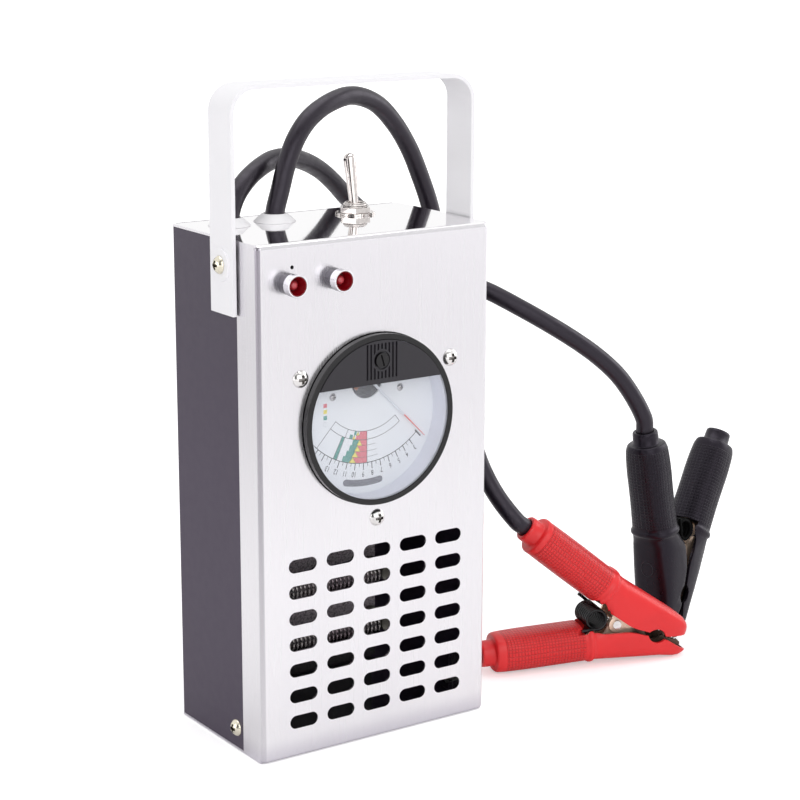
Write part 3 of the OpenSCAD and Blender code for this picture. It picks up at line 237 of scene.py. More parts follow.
def mesh_of(name, points, faces):
    """Mesh object from points in millimetres, with its faces turned outwards."""
    mesh = bpy.data.meshes.new(name)
    mesh.from_pydata([Vector(p) * MM for p in points], [], faces)
    tidy = bmesh.new()
    tidy.from_mesh(mesh)
    bmesh.ops.recalc_face_normals(tidy, faces=tidy.faces)
    tidy.to_mesh(mesh)
    tidy.free()
    return bpy.data.objects.new(name, mesh)


def ease(mesh, angle=SHARP):
    """Smooth shading that breaks at edges sharper than angle, in degrees."""
    mesh.shade_smooth()
    mesh.set_sharp_from_angle(angle=math.radians(angle))


def baked(obj):
    """Applies an object's modifiers into a plain mesh of its own."""
    graph = bpy.context.evaluated_depsgraph_get()
    made = bpy.data.meshes.new_from_object(obj.evaluated_get(graph))
    obj.modifiers.clear()
    obj.data = made
    return obj


def modified(obj, kind, **options):
    modifier = linked(obj).modifiers.new(kind.lower(), kind)
    for key, value in options.items():
        setattr(modifier, key, value)
    return obj


def softened(node, material, width, body="case", segments=2, flatten=0.6):
    """The CAD node's shape, with its sharp edges broken by a bevel of this
    width; faces within flatten degrees of each other become one first."""
    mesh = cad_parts[node].data.copy()
    tidy = bmesh.new()
    tidy.from_mesh(mesh)
    bmesh.ops.remove_doubles(tidy, verts=tidy.verts, dist=2e-6)
    if flatten:
        bmesh.ops.dissolve_limit(tidy, angle_limit=math.radians(flatten), verts=tidy.verts,
                                 edges=tidy.edges)
    tidy.to_mesh(mesh)
    tidy.free()
    loaded_normals = mesh.attributes.get("custom_normal")
    if loaded_normals:
        mesh.attributes.remove(loaded_normals)
    obj = bpy.data.objects.new(node + "_eased", mesh)
    if width:
        modified(obj, "BEVEL", width=width * MM, segments=segments, limit_method="ANGLE",
                 angle_limit=math.radians(SHARP), use_clamp_overlap=True, miter_outer="MITER_ARC")
        baked(obj)
        ease(obj.data)
        modified(obj, "WEIGHTED_NORMAL", weight=60, keep_sharp=True)
        baked(obj)
    else:
        ease(obj.data, 70)
    return rides(obj, body, material, [node])


def catmull(points, steps):
    """Smooth curve through points, with steps straight pieces between each pair."""
    points = [Vector(p) for p in points]
    made = []
    for i in range(len(points) - 1):
        a, b = points[max(i - 1, 0)], points[i]
        c, d = points[i + 1], points[min(i + 2, len(points) - 1)]
        for s in range(steps):
            t = s / steps
            made.append(0.5 * (2 * b + (c - a) * t + (2 * a - 5 * b + 4 * c - d) * t * t
                               + (3 * b - a - 3 * c + d) * t ** 3))
    return made + [points[-1]]


def wire(name, route, diameter, body, material, replaced=(), sides=8):
    """Round bar, lead or cable along a route in millimetres, as one curve."""
    curve = bpy.data.curves.new(name, "CURVE")
    curve.dimensions = "3D"
    spline = curve.splines.new("POLY")
    spline.points.add(len(route) - 1)
    for point, at in zip(spline.points, route):
        point.co = (*(Vector(at) * MM), 1)
    spline.use_smooth = True
    curve.bevel_depth = diameter / 2 * MM
    curve.bevel_resolution = sides // 2
    curve.use_fill_caps = True
    return rides(bpy.data.objects.new(name, curve), body, material, replaced)


# --- Clamp placement ----------------------------------------------------------
# A clamp is drawn in a frame of its own, with its rivet near the origin, its
# handles towards +X and its cable half above; the free half is the mirrored one.
# It is then turned and moved to where it lies.

GRIP_AT, GRIP_TILT = Vector((11.5, 0, 15.6)), math.radians(20.5)
GRIP_X = Vector((math.cos(GRIP_TILT), 0, math.sin(GRIP_TILT)))
GRIP_L = {"cable": 51, "free": 53}
COLLAR_L = 7


def placed(at, turn):
    """A clamp's own frame: where its origin lies, and its turns about X, Y and Z."""
    x, y, z = (math.radians(v) for v in turn)
    spin = Matrix.Rotation(z, 4, "Z") @ Matrix.Rotation(y, 4, "Y") @ Matrix.Rotation(x, 4, "X")
    return Matrix.Translation(mm(*at)) @ spin


CLAMPS = {
    "red": placed((166.4, -19.3, 23.2867), (0, -18.6135, 163.3)),
    "black": placed((225, 2, 45.5), (-14.4, -77.2, 27.4)),
}


def past_collar(clamp, l):
    """Point on the cable grip's axis, past its collar's mouth, in millimetres."""
    local = GRIP_AT + GRIP_X * (GRIP_L["cable"] + COLLAR_L + l)
    return (CLAMPS[clamp] @ (local * MM)) / MM


# --- Cables -------------------------------------------------------------------
# Rubber-jacketed welding-type leads: each rises out of its grommet, bends over
# and hangs to the grip that holds it. Jacket with a soft gloss and faint scuffs.

jacket = varied("cable_jacket", "161218", 0.36, 0.08, 0.5, 0.03, specular_tint=(0.92, 0.84, 1.0))
jacket.relief(jacket.at.noise(2.6, 2), 0.015)

RED_ROUTE = [
    (-20, 19, 226), (-20, 19, 240), (-20, 19, 253), (-16, 20, 265), (-11, 22, 277), (-4, 24, 289),
    (6, 27, 298), (20, 31, 304), (36, 36, 306), (53, 41, 301), (67, 45, 290), (79, 49, 276),
    (88, 52, 261), (95, 53, 245), (99, 52, 228), (101, 48, 211), (102, 43, 194), (101, 36, 177),
    (100, 30, 160), (99, 24, 143), (99, 19, 126), (102, 14, 110), (107, 7, 95),
    *(past_collar("red", l) for l in (7, 0, -16)),
]
BLACK_ROUTE = [
    (-45, 19, 226), (-45, 19, 240), (-45, 19, 253), (-41, 21, 262), (-33, 25, 269), (-22, 31, 274),
    (-8, 39, 277), (6, 46, 276), (20, 54, 272), (33, 61, 266), (45, 67, 258), (56, 72, 249),
    (68, 75, 240), (81, 75, 231), (94, 71, 221), (106, 63, 211), (117, 53, 202), (128, 42, 196),
    (140, 32, 188), (152, 25, 180), (165, 19, 171), (178, 14, 161), (189, 9, 150), (197, 5, 138),
    *(past_collar("black", l) for l in (8, 0, -16)),
]


def length_of(route):
    """Length in metres of a route in millimetres."""
    return sum((b - a).length for a, b in zip(route, route[1:])) * MM


CABLE_D = 9.5
red_line, black_line = catmull(RED_ROUTE, 6), catmull(BLACK_ROUTE, 6)
red_cable = wire("red_clamp_cable", red_line, CABLE_D, "case", jacket,
                 ["cable_red"], 12)
black_cable = wire("black_clamp_cable", black_line, CABLE_D, "case", jacket,
                   ["cable_black"], 12)

# --- Floor, sky and lamps ---------------------------------------------------------
# White sweep under soft boxes. The camera and bright metal see a white room that
# is dark on the side the camera stands; everything else is lit at a plain level.

scene = bpy.context.scene
scene.view_settings.view_transform = "Standard"
scene.view_settings.look = "None"
world = bpy.data.worlds.new("white_room")
scene.world = world
world.use_nodes = True
sky = world.node_tree
ray = add_node(sky, "ShaderNodeTexCoord", {}, 0)
path = {kind: Wire(sky, sky.nodes.new("ShaderNodeLightPath").outputs[f"Is {kind} Ray"])
        for kind in ("Camera", "Glossy")}
plain = ray.axis("Z").over(-0.25, 0.9, 0.34, 0.56)
towards = ray.axis("X") * back.x + ray.axis("Y") * back.y + ray.axis("Z") * 0.3
mirrored = 0.98 - towards.over(0.62, 0.9) * 0.88
shown = plain + path["Glossy"] * (mirrored - plain)
shown = shown + path["Camera"] * (1.0 - shown)
feed(sky, (1.0, 1.0, 1.0), sky.nodes["Background"].inputs["Color"])
feed(sky, shown, sky.nodes["Background"].inputs["Strength"])

floor_look = Look("floor_white", (0.93, 0.92, 0.93), roughness=0.6, emission_strength=1.0)
floor_look.tint(floor_look.at.noise(0.004, 2) * 0.1, (0.9, 0.89, 0.92))
away = floor_look.at.size()
floor_look.set("Emission Color", floor_look.path("Camera") * away.over(500, 2600, 0.42, 0.95)
               + floor_look.path("Glossy") * away.over(700, 2600, 0, 0.95))
FLOOR_HALF, FLOOR_Z = 9000, -0.2
floor = linked(mesh_of("floor", [(FLOOR_HALF * x, FLOOR_HALF * y, FLOOR_Z)
                                 for x, y in ((-1, -1), (1, -1), (1, 1), (-1, 1))], [(0, 1, 2, 3)]))
floor.data.materials.append(floor_look.material)


def softbox(name, at, aim, size, watts):
    """Oblong area lamp at a place, facing the point it is aimed at."""
    lamp = bpy.data.lights.new(name, "AREA")
    lamp.shape = "RECTANGLE"
    lamp.size, lamp.size_y = size[0] * MM, size[1] * MM
    lamp.energy = watts
    obj = linked(bpy.data.objects.new(name, lamp))
    obj.location = mm(*at)
    obj.rotation_mode = "QUATERNION"
    obj.rotation_quaternion = (mm(*aim) - mm(*at)).to_track_quat("-Z", "Y")


softbox("box_front", (-500, -1500, 900), (0, 0, 130), (1700, 1400), 13)
softbox("box_top", (150, 150, 1500), (60, 0, 100), (1300, 1100), 7)
softbox("box_right", (1300, -300, 700), (80, 0, 120), (700, 900), 4)
softbox("box_left", (-1500, 100, 500), (-60, 0, 180), (700, 900), 4)

# --- Front cover ------------------------------------------------------------------
# One sheet of bright steel: brushed up and down on the front, polished on the
# folded top, with edges broken by the press. Its colour is painted with the
# reflection of a darker room at its bends and towards its top, painted shade at
# its foot, and a painted highlight on faces that look up.

steel = Look("brushed_steel", (0.92, 0.905, 0.93), metallic=1.0)
strokes = steel.at.scaled(2.2, 2.2, 0.012).noise(1, 4, 0.7)
cloud = steel.at.scaled(0.02, 0.02, 0.006).noise(1, 3)
facing_up = steel.normal().axis("Z").over(0.55, 0.9)
steel.tint(cloud.over(0.35, 0.75, 0, 0.15), (0.76, 0.74, 0.78))
steel.tint(strokes.over(0.45, 0.8, 0, 0.08), (0.68, 0.67, 0.7))
height = steel.at.axis("Z")
# Painted reflection and shade: darker towards the top, at the bends and at the foot; painted highlight:
# lighter on faces that look up.
steel.tint(height.over(70, 270) * 0.65, (0.6, 0.585, 0.615))
bend = (steel.normal().axis("X") * steel.normal().axis("Y")).over(0.1, 0.35)
steel.tint(bend * height.over(-60, 250, 0.3, 1) * 0.75, (0.16, 0.14, 0.18))
steel.tint(height.over(0, 13, 0.5, 0), (0.45, 0.42, 0.5))
steel.tint(facing_up, (0.98, 0.97, 0.98))
steel.rough(strokes.over(0.3, 0.8, 0.2, 0.32) - facing_up * 0.2)
steel.relief(strokes, 0.002)
softened("front_cover", steel, 0.2)

# --- Rear shell -------------------------------------------------------------------
# Sheet steel with a baked charcoal coat that leans to violet, and is darker
# towards the top.

shell_paint = varied("violet_black_coat", "393140", 0.42, 0.02, 1.6, 0.02, 0.06,
                     specular_tint=(0.9, 0.78, 1.0))
shell_paint.tint(shell_paint.at.axis("Z").over(120, 260) * 0.45, "1e1923")
softened("rear_shell", shell_paint, 0.35)

# --- Screws, nuts and washers -------------------------------------------------------
# Yellowish zinc outside, plain zinc and nickel inside; heads with a cross recess.


def plated(name, color, rough=0.2):
    """Bright plating over turned or pressed metal, worn duller in patches, with
    painted shade, near black, on faces marked as lying in a recess."""
    look = Look(name, color, metallic=1.0)
    look.tint(look.at.noise(0.5, 3).over(0.4, 0.75, 0, 0.5), look.darker(0.7))
    look.rough(look.at.noise(0.9, 3).over(0.3, 0.8, rough * 0.7, rough * 1.5))
    look.relief(look.at.noise(0.5, 2), 0.008)
    # Painted shade: faces marked as lying in a recess are painted near black.
    look.tint(look.attribute("recess").axis("X").over(0.2, 0.6) * 0.9, (0.05, 0.04, 0.03))
    return look


yellow_zinc = plated("yellow_zinc", (0.83, 0.78, 0.64), 0.22)
grey_zinc = plated("grey_zinc", (0.62, 0.62, 0.63), 0.35)
nickel = plated("bright_nickel", (0.86, 0.84, 0.83), 0.14)
brass = plated("turned_brass", (0.83, 0.64, 0.3), 0.2)
ground_steel = plated("ground_steel", (0.09, 0.085, 0.1), 0.5)


def grimy(obj, spread=1.3, reach=1.8, start=0.02):
    """Marks each face with how much of a cone of rays in front of it meets the
    same part within reach, in millimetres: that is where shade is painted."""
    mesh = obj.data
    tree = BVHTree.FromPolygons([v.co for v in mesh.vertices], [p.vertices for p in mesh.polygons])
    recess = mesh.attributes.new("recess", "FLOAT", "FACE")
    turns = [math.radians(a) for a in range(0, 360, 45)]
    for face, value in zip(mesh.polygons, recess.data):
        side = face.normal.orthogonal()
        rays = [face.normal + side @ Matrix.Rotation(a, 3, face.normal) * spread for a in turns]
        origin = face.center + face.normal * start * MM
        met = [tree.ray_cast(origin, way.normalized(), reach * MM)[0] is not None for way in rays]
        value.value = sum(met) / len(met)


for node in ("case_screws", "handle_screws"):
    grimy(softened(node, yellow_zinc, 0.2))
softened("case_nuts", grey_zinc, 0.2)
softened("handle_washers", varied("white_fibre", "dedcd6", 0.8, 0.05, 1.2, 0.05), 0.1)
grimy(softened("meter_screws", nickel, 0.2))
softened("meter_screw_nuts", nickel, 0.2)

# --- Handle -----------------------------------------------------------------------
# Bail of white-painted flat steel, bent over the case, on a boss at each side.

white_paint = varied("white_paint", "f2f1f4", 0.35, 0.06, 0.7, 0.015, 0.08)
softened("handle", white_paint, 0.35, "handle", 3)

# --- Meter --------------------------------------------------------------------------
# Moulded black body with a turned-looking bezel, a grooved cap over the
# movement, a white inner wall, and a clear pane behind the lip.

PIVOT_Z = 179.6
moulded = varied("black_moulding", "09070b", 0.12, 0.06, 0.8, 0.02, 0.1)
satin_cap = varied("cap_moulding", "211e25", 0.42, 0.05, 1.8, 0.02, 0.1)
wall_white = varied("inner_wall", "e6e8f4", 0.4, 0.05, 0.5, 0.0, 0.3)
softened("meter_case", moulded, 0.7, segments=3)
ease(softened("meter_cap", satin_cap, 0, flatten=0).data)
softened("zero_adjuster", moulded, 0.12, "adjuster")
softened("meter_liner", wall_white, 0.1)
grimy(softened("dial_screws", plated("dull_nickel", (0.5, 0.48, 0.48), 0.3), 0.1))
softened("pivot_bridge", nickel, 0.1)
softened("moving_coil", varied("enamelled_wire", "9a5526", 0.3, 0.08, 3.0, 0.1), 0.1, "movement")
softened("magnet_yoke", ground_steel, 0.2)
softened("meter_studs", brass, 0.15)

pane = Look("clear_pane", (0.9, 0.93, 1.0), roughness=0.04, alpha=0.1)
pane.rough(pane.at.noise(0.08, 2).over(0.3, 0.7, 0.02, 0.06))
softened("meter_window", pane, 0.1)

paper = Look("dial_face", "eef1f5", roughness=0.55)
paper.tint(paper.at.noise(0.05, 2) * 0.3, "dde2ea")
paper.relief(paper.at.noise(2, 3), 0.01)
softened("dial_plate", paper, 0.05)

# --- Needle ---------------------------------------------------------------------
# White blade with a red end, at rest half a right angle from straight down. The
# solid's blade is drawn in to under half its width; its hub and tail stay wide.

NEEDLE_WAY = Vector((1, 0, -1)).normalized()
BLADE_HALF, BLADE_ROOT, PAST_HUB, DRAWN_IN = 0.8, 0.3, 3, 0.55
needle_red = Look("needle_red", "e2564f", roughness=0.4)
reach = needle_red.at.moved(0, 0, -PIVOT_Z).scaled(1, 0, 1).size()
needle_red.tint(reach.over(28.4, 29.4, 1, 0), "dadee6")
needle_red.rough(needle_red.at.noise(1.1, 2).over(0.3, 0.7, 0.55, 0.65))
needle = softened("needle", needle_red, 0.03, "movement")
for vertex in needle.data.vertices:
    out = vertex.co - mm(0, 0, PIVOT_Z)
    along = out.dot(NEEDLE_WAY)
    sideways = Vector((out.x, 0, out.z)) - NEEDLE_WAY * along
    on_blade = abs(along) < BLADE_ROOT * MM or along > PAST_HUB * MM
    if on_blade and sideways.length < BLADE_HALF * MM:
        vertex.co -= sideways * DRAWN_IN

# --- Dial print ---------------------------------------------------------------------
# Scale and bands printed round the pivot, which is above them: all are thin
# inks, laid in layers. Angles run from straight down, + to the right, and
# radii are measured from the pivot.

INK_Y, INK_T = -31.2, 0.02
SCALE_R, BAND_R, TABLE_R = 41.8, 26.1, 30.3
ROW_H = (SCALE_R - TABLE_R) / 4
BAND_ROW_H = ROW_H * 0.73
HAIR, BORDER = 0.26, 0.07


def on_dial(radius, degrees):
    turn = math.radians(degrees)
    return (radius * math.sin(turn), PIVOT_Z - radius * math.cos(turn))


def sector(inner, outer, first, last):
    """Outline of part of a ring on the dial."""
    steps = max(2, int(abs(last - first) / 1.5) + 1)
    turns = [first + (last - first) * i / steps for i in range(steps + 1)]
    return [on_dial(outer, t) for t in turns] + [on_dial(inner, t) for t in reversed(turns)]


def radial(inner, outer, degrees, width):
    """Outline of a straight line along a radius."""
    outer_half, inner_half = math.degrees(width / 2 / outer), math.degrees(width / 2 / inner)
    return [on_dial(inner, degrees - inner_half), on_dial(outer, degrees - outer_half),
            on_dial(outer, degrees + outer_half), on_dial(inner, degrees + inner_half)]


def bordered(outline):
    """Thin line along each side of an outline."""
    sides = []
    for (x0, z0), (x1, z1) in zip(outline, outline[1:] + outline[:1]):
        length = math.hypot(x1 - x0, z1 - z0)
        dx, dz = -(z1 - z0) / length * BORDER, (x1 - x0) / length * BORDER
        sides.append([(x0 - dx, z0 - dz), (x1 - dx, z1 - dz), (x1 + dx, z1 + dz), (x0 + dx, z0 + dz)])
    return sides


def printed(name, outlines, layer, material):
    """Thin closed ink film for each outline, given as X and height."""
    front, back_face = INK_Y - INK_T * (layer + 1), INK_Y - INK_T * (layer + 0.2)
    points, faces = [], []
    for outline in outlines:
        start, n = len(points), len(outline)
        points += [(x, front, z) for x, z in outline] + [(x, back_face, z) for x, z in outline]
        faces.append([start + i for i in range(n)])
        faces.append([start + n + i for i in reversed(range(n))])
        faces += [[start + i, start + n + i, start + n + (i + 1) % n, start + (i + 1) % n]
                  for i in range(n)]
    obj = rides(mesh_of(name, points, faces), "case", material)
    modified(obj, "TRIANGULATE")
    return baked(obj)


def ink(name, color):
    """Printed ink: slightly uneven in tone, with the paper's grain under it."""
    look = Look(name, color, roughness=0.5)
    look.tint(look.at.noise(1.4, 3).over(0.35, 0.7, 0, 0.1), "f0f2f5")
    look.relief(look.at.noise(2, 3), 0.008)
    return look


black_ink, grey_ink = ink("black_ink", "121218"), ink("grey_ink", "565662")
red_ink, yellow_ink = ink("red_ink", "dc5a68"), ink("yellow_ink", "ecdc40")
teal_ink = ink("teal_ink", "168a7c")

# Each row of the zones reaches further round than the row inside it.
ZERO = -0.2
SPLITS = (-24.6, -27.5)
red_zone, yellow_zone, teal_zone = [], [], []
for row in range(4):
    inside, outside = TABLE_R + ROW_H * row, TABLE_R + ROW_H * (row + 1)
    split = -4.8 - 1.35 * row
    tip = -8.0 - 1.4 * row
    low_edge = split - 5.6
    far = -15.0 - 1.75 * row
    red_zone.append(sector(inside, outside, ZERO, split))
    red_zone.append([on_dial(inside, split), on_dial(outside, split), on_dial(inside, tip)])
    yellow_zone.append([on_dial(inside, tip), on_dial(outside, split), on_dial(outside, low_edge)])
    teal_zone.append(sector(inside, outside, low_edge, far))
    teal_zone.append([on_dial(inside, tip), on_dial(outside, low_edge), on_dial(inside, low_edge)])
for row in range(2):
    inside, outside = BAND_R + BAND_ROW_H * row, BAND_R + BAND_ROW_H * (row + 1)
    split, far = -8.6 - 3.6 * row, -15.2 - 4.4 * row
    red_zone.append(sector(inside, outside, ZERO, split))
    yellow_zone.append([on_dial(inside, split - 2.4), on_dial(outside, split),
                        on_dial(outside, split - 4)])
    teal_zone.append(sector(inside, outside, split - 4, far))
teal_zone.append(sector(TABLE_R, SCALE_R, *SPLITS))

KEY_X, KEY_Z, KEY_SIZE = -24.5, 161.5, 2


def key_square(up):
    """Outline of one square of the key beside the scale, up from KEY_Z."""
    return [(KEY_X + dx * KEY_SIZE, KEY_Z + up + dz * KEY_SIZE)
            for dx, dz in ((0, 0), (1, 0), (1, 1), (0, 1))]


printed("dial_red", [*red_zone, key_square(6.4)], 0, red_ink)
printed("dial_yellow", [*yellow_zone, key_square(3.5)], 1, yellow_ink)
printed("dial_teal", [*teal_zone, key_square(0.5)], 0, teal_ink)

# The scale: its arc, a stop at its start, marks and half marks, and the rules
# round the bands.
STEP = 6.45
MARKS = [36.0 - STEP * i for i in range(13)]
SCALE_START, SCALE_END, BAND_START, BAND_END = 43.4, -48, 38.4, -42.9
lines = [sector(SCALE_R - 0.17, SCALE_R + 0.2, SCALE_START, SCALE_END),
         radial(SCALE_R - 1.1, SCALE_R + 3.6, SCALE_START, 0.8)]
lines += [radial(SCALE_R, SCALE_R + 3.4, a, 0.46) for a in MARKS]
lines += [radial(SCALE_R, SCALE_R + 1.8, a - STEP / 2, HAIR) for a in MARKS[:-1]]
lines += [sector(r - HAIR / 2, r + HAIR / 2, BAND_START, BAND_END) for r in (BAND_R, TABLE_R)]
lines += [radial(BAND_R, TABLE_R, BAND_START, HAIR), radial(BAND_R, SCALE_R, BAND_END, HAIR)]
lines += [radial(BAND_R, SCALE_R, 0, HAIR), radial(BAND_R, TABLE_R, -24.1, HAIR)]
lines += [radial(TABLE_R, SCALE_R, a, HAIR) for a in SPLITS]
for r in (TABLE_R + ROW_H * i for i in range(1, 4)):
    lines.append(sector(r - 0.08, r + 0.08, 9, -9 - r / 7))
lines += [line for triangle in yellow_zone for line in bordered(triangle)]
printed("dial_lines", lines, 3, black_ink)


def pill(first, last, radius, half):
    """Outline of a band bent round the pivot, with round ends."""
    turn = math.degrees(half / radius)
    outline = sector(radius - half, radius + half, first, last)
    middle = len(outline) // 2
    ends = []
    for side, degrees in ((-1, last), (1, first)):
        ends.append([on_dial(radius + side * half * math.sin(b), degrees + side * turn * math.cos(b))
                     for b in map(math.radians, range(-60, 61, 30))])
    return outline[:middle] + ends[0] + outline[middle:] + ends[1]


printed("dial_plaque", [pill(8.2, -13.6, 51.6, 1.65)], 3, grey_ink)

# The empty square of the key: along each side, a wedge with its point at one corner.
empty_up = -2.6
corners = key_square(empty_up)
middle_x, middle_z = KEY_X + KEY_SIZE / 2, KEY_Z + empty_up + KEY_SIZE / 2
key_frame = [[a, b, (b[0] * 0.9 + middle_x * 0.1, b[1] * 0.9 + middle_z * 0.1)]
             for a, b in zip(corners, corners[1:] + corners[:1])]
printed("dial_key_frame", key_frame, 3, black_ink)

NUMERAL_R, NUMERAL_H, NUMERAL_SQUEEZE = 47.2, 3.7, 0.72


def numeral(value, degrees):
    """Narrow number with its foot towards the pivot, from the built-in typeface."""
    curve = bpy.data.curves.new(f"numeral_{value}", "FONT")
    curve.body, curve.align_x, curve.align_y = str(value), "CENTER", "CENTER"
    curve.size, curve.extrude, curve.offset = NUMERAL_H * MM, INK_T / 2 * MM, 0.03 * MM
    text = linked(bpy.data.objects.new(f"numeral_{value}_text", curve))
    graph = bpy.context.evaluated_depsgraph_get()
    mesh = bpy.data.meshes.new_from_object(text.evaluated_get(graph))
    bpy.data.objects.remove(text)
    x, z = on_dial(NUMERAL_R, degrees)
    out_x, out_z = math.sin(math.radians(degrees)), -math.cos(math.radians(degrees))
    turn = Matrix(((out_z, out_x, 0), (0, 0, -1), (-out_x, out_z, 0))).to_4x4()
    squeeze = Matrix.Diagonal((NUMERAL_SQUEEZE, 1, 1, 1))
    mesh.transform(Matrix.Translation(mm(x, INK_Y - 4 * INK_T, z)) @ turn @ squeeze)
    return rides(bpy.data.objects.new(f"numeral_{value}", mesh), "case", black_ink)


for value, degrees in zip(range(3, 14), MARKS):
    numeral(value, degrees)

# --- Indicators -----------------------------------------------------------------
# Red lamps with round tips in red cups, held in chromed bezels: each bezel is a
# stepped tube on a thread, dark behind its step, with a nut behind the panel.

BEZEL_STEP_Y = -44.5
bezel_chrome = plated("bezel_chrome", (0.84, 0.83, 0.86), 0.08)
bezel_chrome.tint(bezel_chrome.at.axis("Y").over(BEZEL_STEP_Y, BEZEL_STEP_Y + 0.1) * 0.9,
                  (0.05, 0.045, 0.06))
# Painted reflection: faces of the bezels that look down are painted darker.
bezel_chrome.tint(bezel_chrome.normal().axis("Z").over(-0.75, -0.2, 0.7, 0), (0.1, 0.1, 0.11))
softened("led_bezels", bezel_chrome, 0.25, segments=3)
cup_red = varied("red_cup", "7d0310", 0.22, 0.05, 1.2, 0.02, 0.2)
softened("led_reflectors", cup_red, 0.08)
lens_red = varied("red_lens", "8c0612", 0.08, 0.03, 0.6, 0.004, 0.1, coat_weight=0.6)
# Painted highlight: the round tip of each lens is painted a lighter pink.
lens_red.tint(lens_red.at.axis("Y").over(-46.5, -44.8, 0.7, 0), "d8505a")
softened("leds", lens_red, 0.05)
softened("led_nuts", nickel, 0.15)

# --- Switch ----------------------------------------------------------------------
# Toggle: brown phenolic body and solder lugs under the top, a nickelled bushing
# with a rolled thread, a toothed washer, a hexagon nut, and a chromed bat lever.

phenolic = varied("phenolic_body", "2b1f1a", 0.4, 0.06, 0.8, 0.03)
softened("switch_body", phenolic, 0.4)
threaded = plated("threaded_nickel", (0.68, 0.64, 0.62), 0.18)
THREAD_PITCH, THREAD_DEPTH = 0.8, 0.35
thread = (threaded.at.axis("Z") * (2 * math.pi / THREAD_PITCH)).math("SINE") * 0.5 + 0.5
threaded.relief(thread, THREAD_DEPTH)
softened("switch_bushing", threaded, 0.15)
switch_nickel = plated("switch_nickel", (0.7, 0.66, 0.64), 0.12)
softened("switch_washer", switch_nickel, 0.15)
softened("switch_nut", switch_nickel, 0.35, segments=3)
softened("switch_lever", plated("lever_chrome", (0.72, 0.67, 0.65), 0.07), 0.1, "lever")
tinned = plated("tinned_brass", (0.74, 0.69, 0.55), 0.3)
softened("switch_terminals", tinned, 0.1)

# --- Grommets and cable ends ---------------------------------------------------------
# White rubber grommets are pushed into the top. Inside, crimped lugs sit on
# brass studs through a laminate board, which three nylon spacers hold off the back.

softened("grommets", varied("white_rubber", "e9e8ea", 0.5, 0.07, 0.9, 0.03, 0.12), 0.5, segments=3)
softened("cable_lugs", plated("tinned_copper", (0.8, 0.66, 0.52), 0.3), 0.2)
laminate = varied("laminate", "6b4224", 0.45, 0.07, 1.1, 0.03)
laminate.tint(laminate.at.scaled(0.25, 1, 1.6).noise(1.4, 3).over(0.4, 0.7, 0, 0.5), "4a2a15")
softened("terminal_board", laminate, 0.3)
softened("board_spacers", varied("nylon", "d9d8d0", 0.5, 0.05, 0.9, 0.02), 0.2)
softened("terminal_studs", brass, 0.15)

# --- Load resistors ---------------------------------------------------------------
# Two coils of resistance wire, dark from heat, are bolted to a grey heat-proof
# board on a sheet bracket; the bracket, the bolts and the board's lower part are
# painted near black as shade inside the case. The coils have finer turns than their
# solids, and their ends run a tail's length past the first and last turn.

# Painted shade: the bracket is painted near black for the shade inside the case.
shade_dark = varied("shade_dark_sheet", (0.035, 0.033, 0.038), 0.5, 0.08, 0.9, 0.02, metallic=0.6)
softened("element_bracket", shade_dark, 0.2)
heat_board = varied("heat_board", "b0a6ae", 0.85, 0.08, 1.4, 0.12, 0.2)
heat_board.tint(heat_board.at.noise(1.3, 3, 0.7).over(0.4, 0.62, 0, 0.8), "4a454b")
# Painted shade: the board is painted near black below its upper part.
heat_board.tint(heat_board.at.axis("Z").over(43, 50, 0.93, 0), "0d0c0e")
softened("element_board", heat_board, 0.2)
# Painted shade: the coil bolts are painted dark for the shade inside the case.
softened("coil_bolts", plated("shade_dark_bolt", (0.2, 0.19, 0.17), 0.4), 0.2)
hot_wire = plated("resistance_wire", (0.42, 0.4, 0.39), 0.24)
hot_x = hot_wire.at.axis("X")
hot_wire.tint(hot_x.over(-46, -14, 0, 1) * hot_x.over(-14, 18, 1, 0) * 0.6, (0.2, 0.13, 0.17))
COIL_X, COIL_Y, COIL_L, COIL_R, COIL_WIRE = -53.0, -24.0, 63.0, 4.8, 1.3
COIL_TURNS, COIL_TAIL, TURN_STEPS = 28, 1.15, 24
for name, z in (("lower_coil", 53), ("upper_coil", 79)):
    helix = [(COIL_X - COIL_TAIL, COIL_Y + COIL_R, z)]
    for i in range(COIL_TURNS * TURN_STEPS + 1):
        turn = 2 * math.pi * i / TURN_STEPS
        helix.append((COIL_X + COIL_L * i / (COIL_TURNS * TURN_STEPS),
                      COIL_Y + COIL_R * math.cos(turn), z + COIL_R * math.sin(turn)))
    helix.append((COIL_X + COIL_L + COIL_TAIL, COIL_Y + COIL_R, z))
    wire(name, helix, COIL_WIRE, "case", hot_wire, ["resistor_coils"], 8)

# --- Leads ------------------------------------------------------------------------
# Heavy black leads join lugs, switch and coils; thin red ones serve the meter
# and the lamps.

softened("load_leads", varied("black_insulation", "232327", 0.4, 0.07, 0.7, 0.03), 0)
red_insulation = varied("red_insulation", "b4141c", 0.35, 0.06, 0.6, 0.02)
softened("meter_leads", red_insulation, 0)
softened("led_leads", red_insulation, 0)

# --- Clamp sleeves ----------------------------------------------------------------
# Dipped vinyl sleeve: knurled grip with a collar, a bead ring, and a smooth
# cover over the jaw. Each is lofted as one skin, and its mouth is cut out. Both
# kinds are drawn with their handle and outside up, and the free one mirrored.

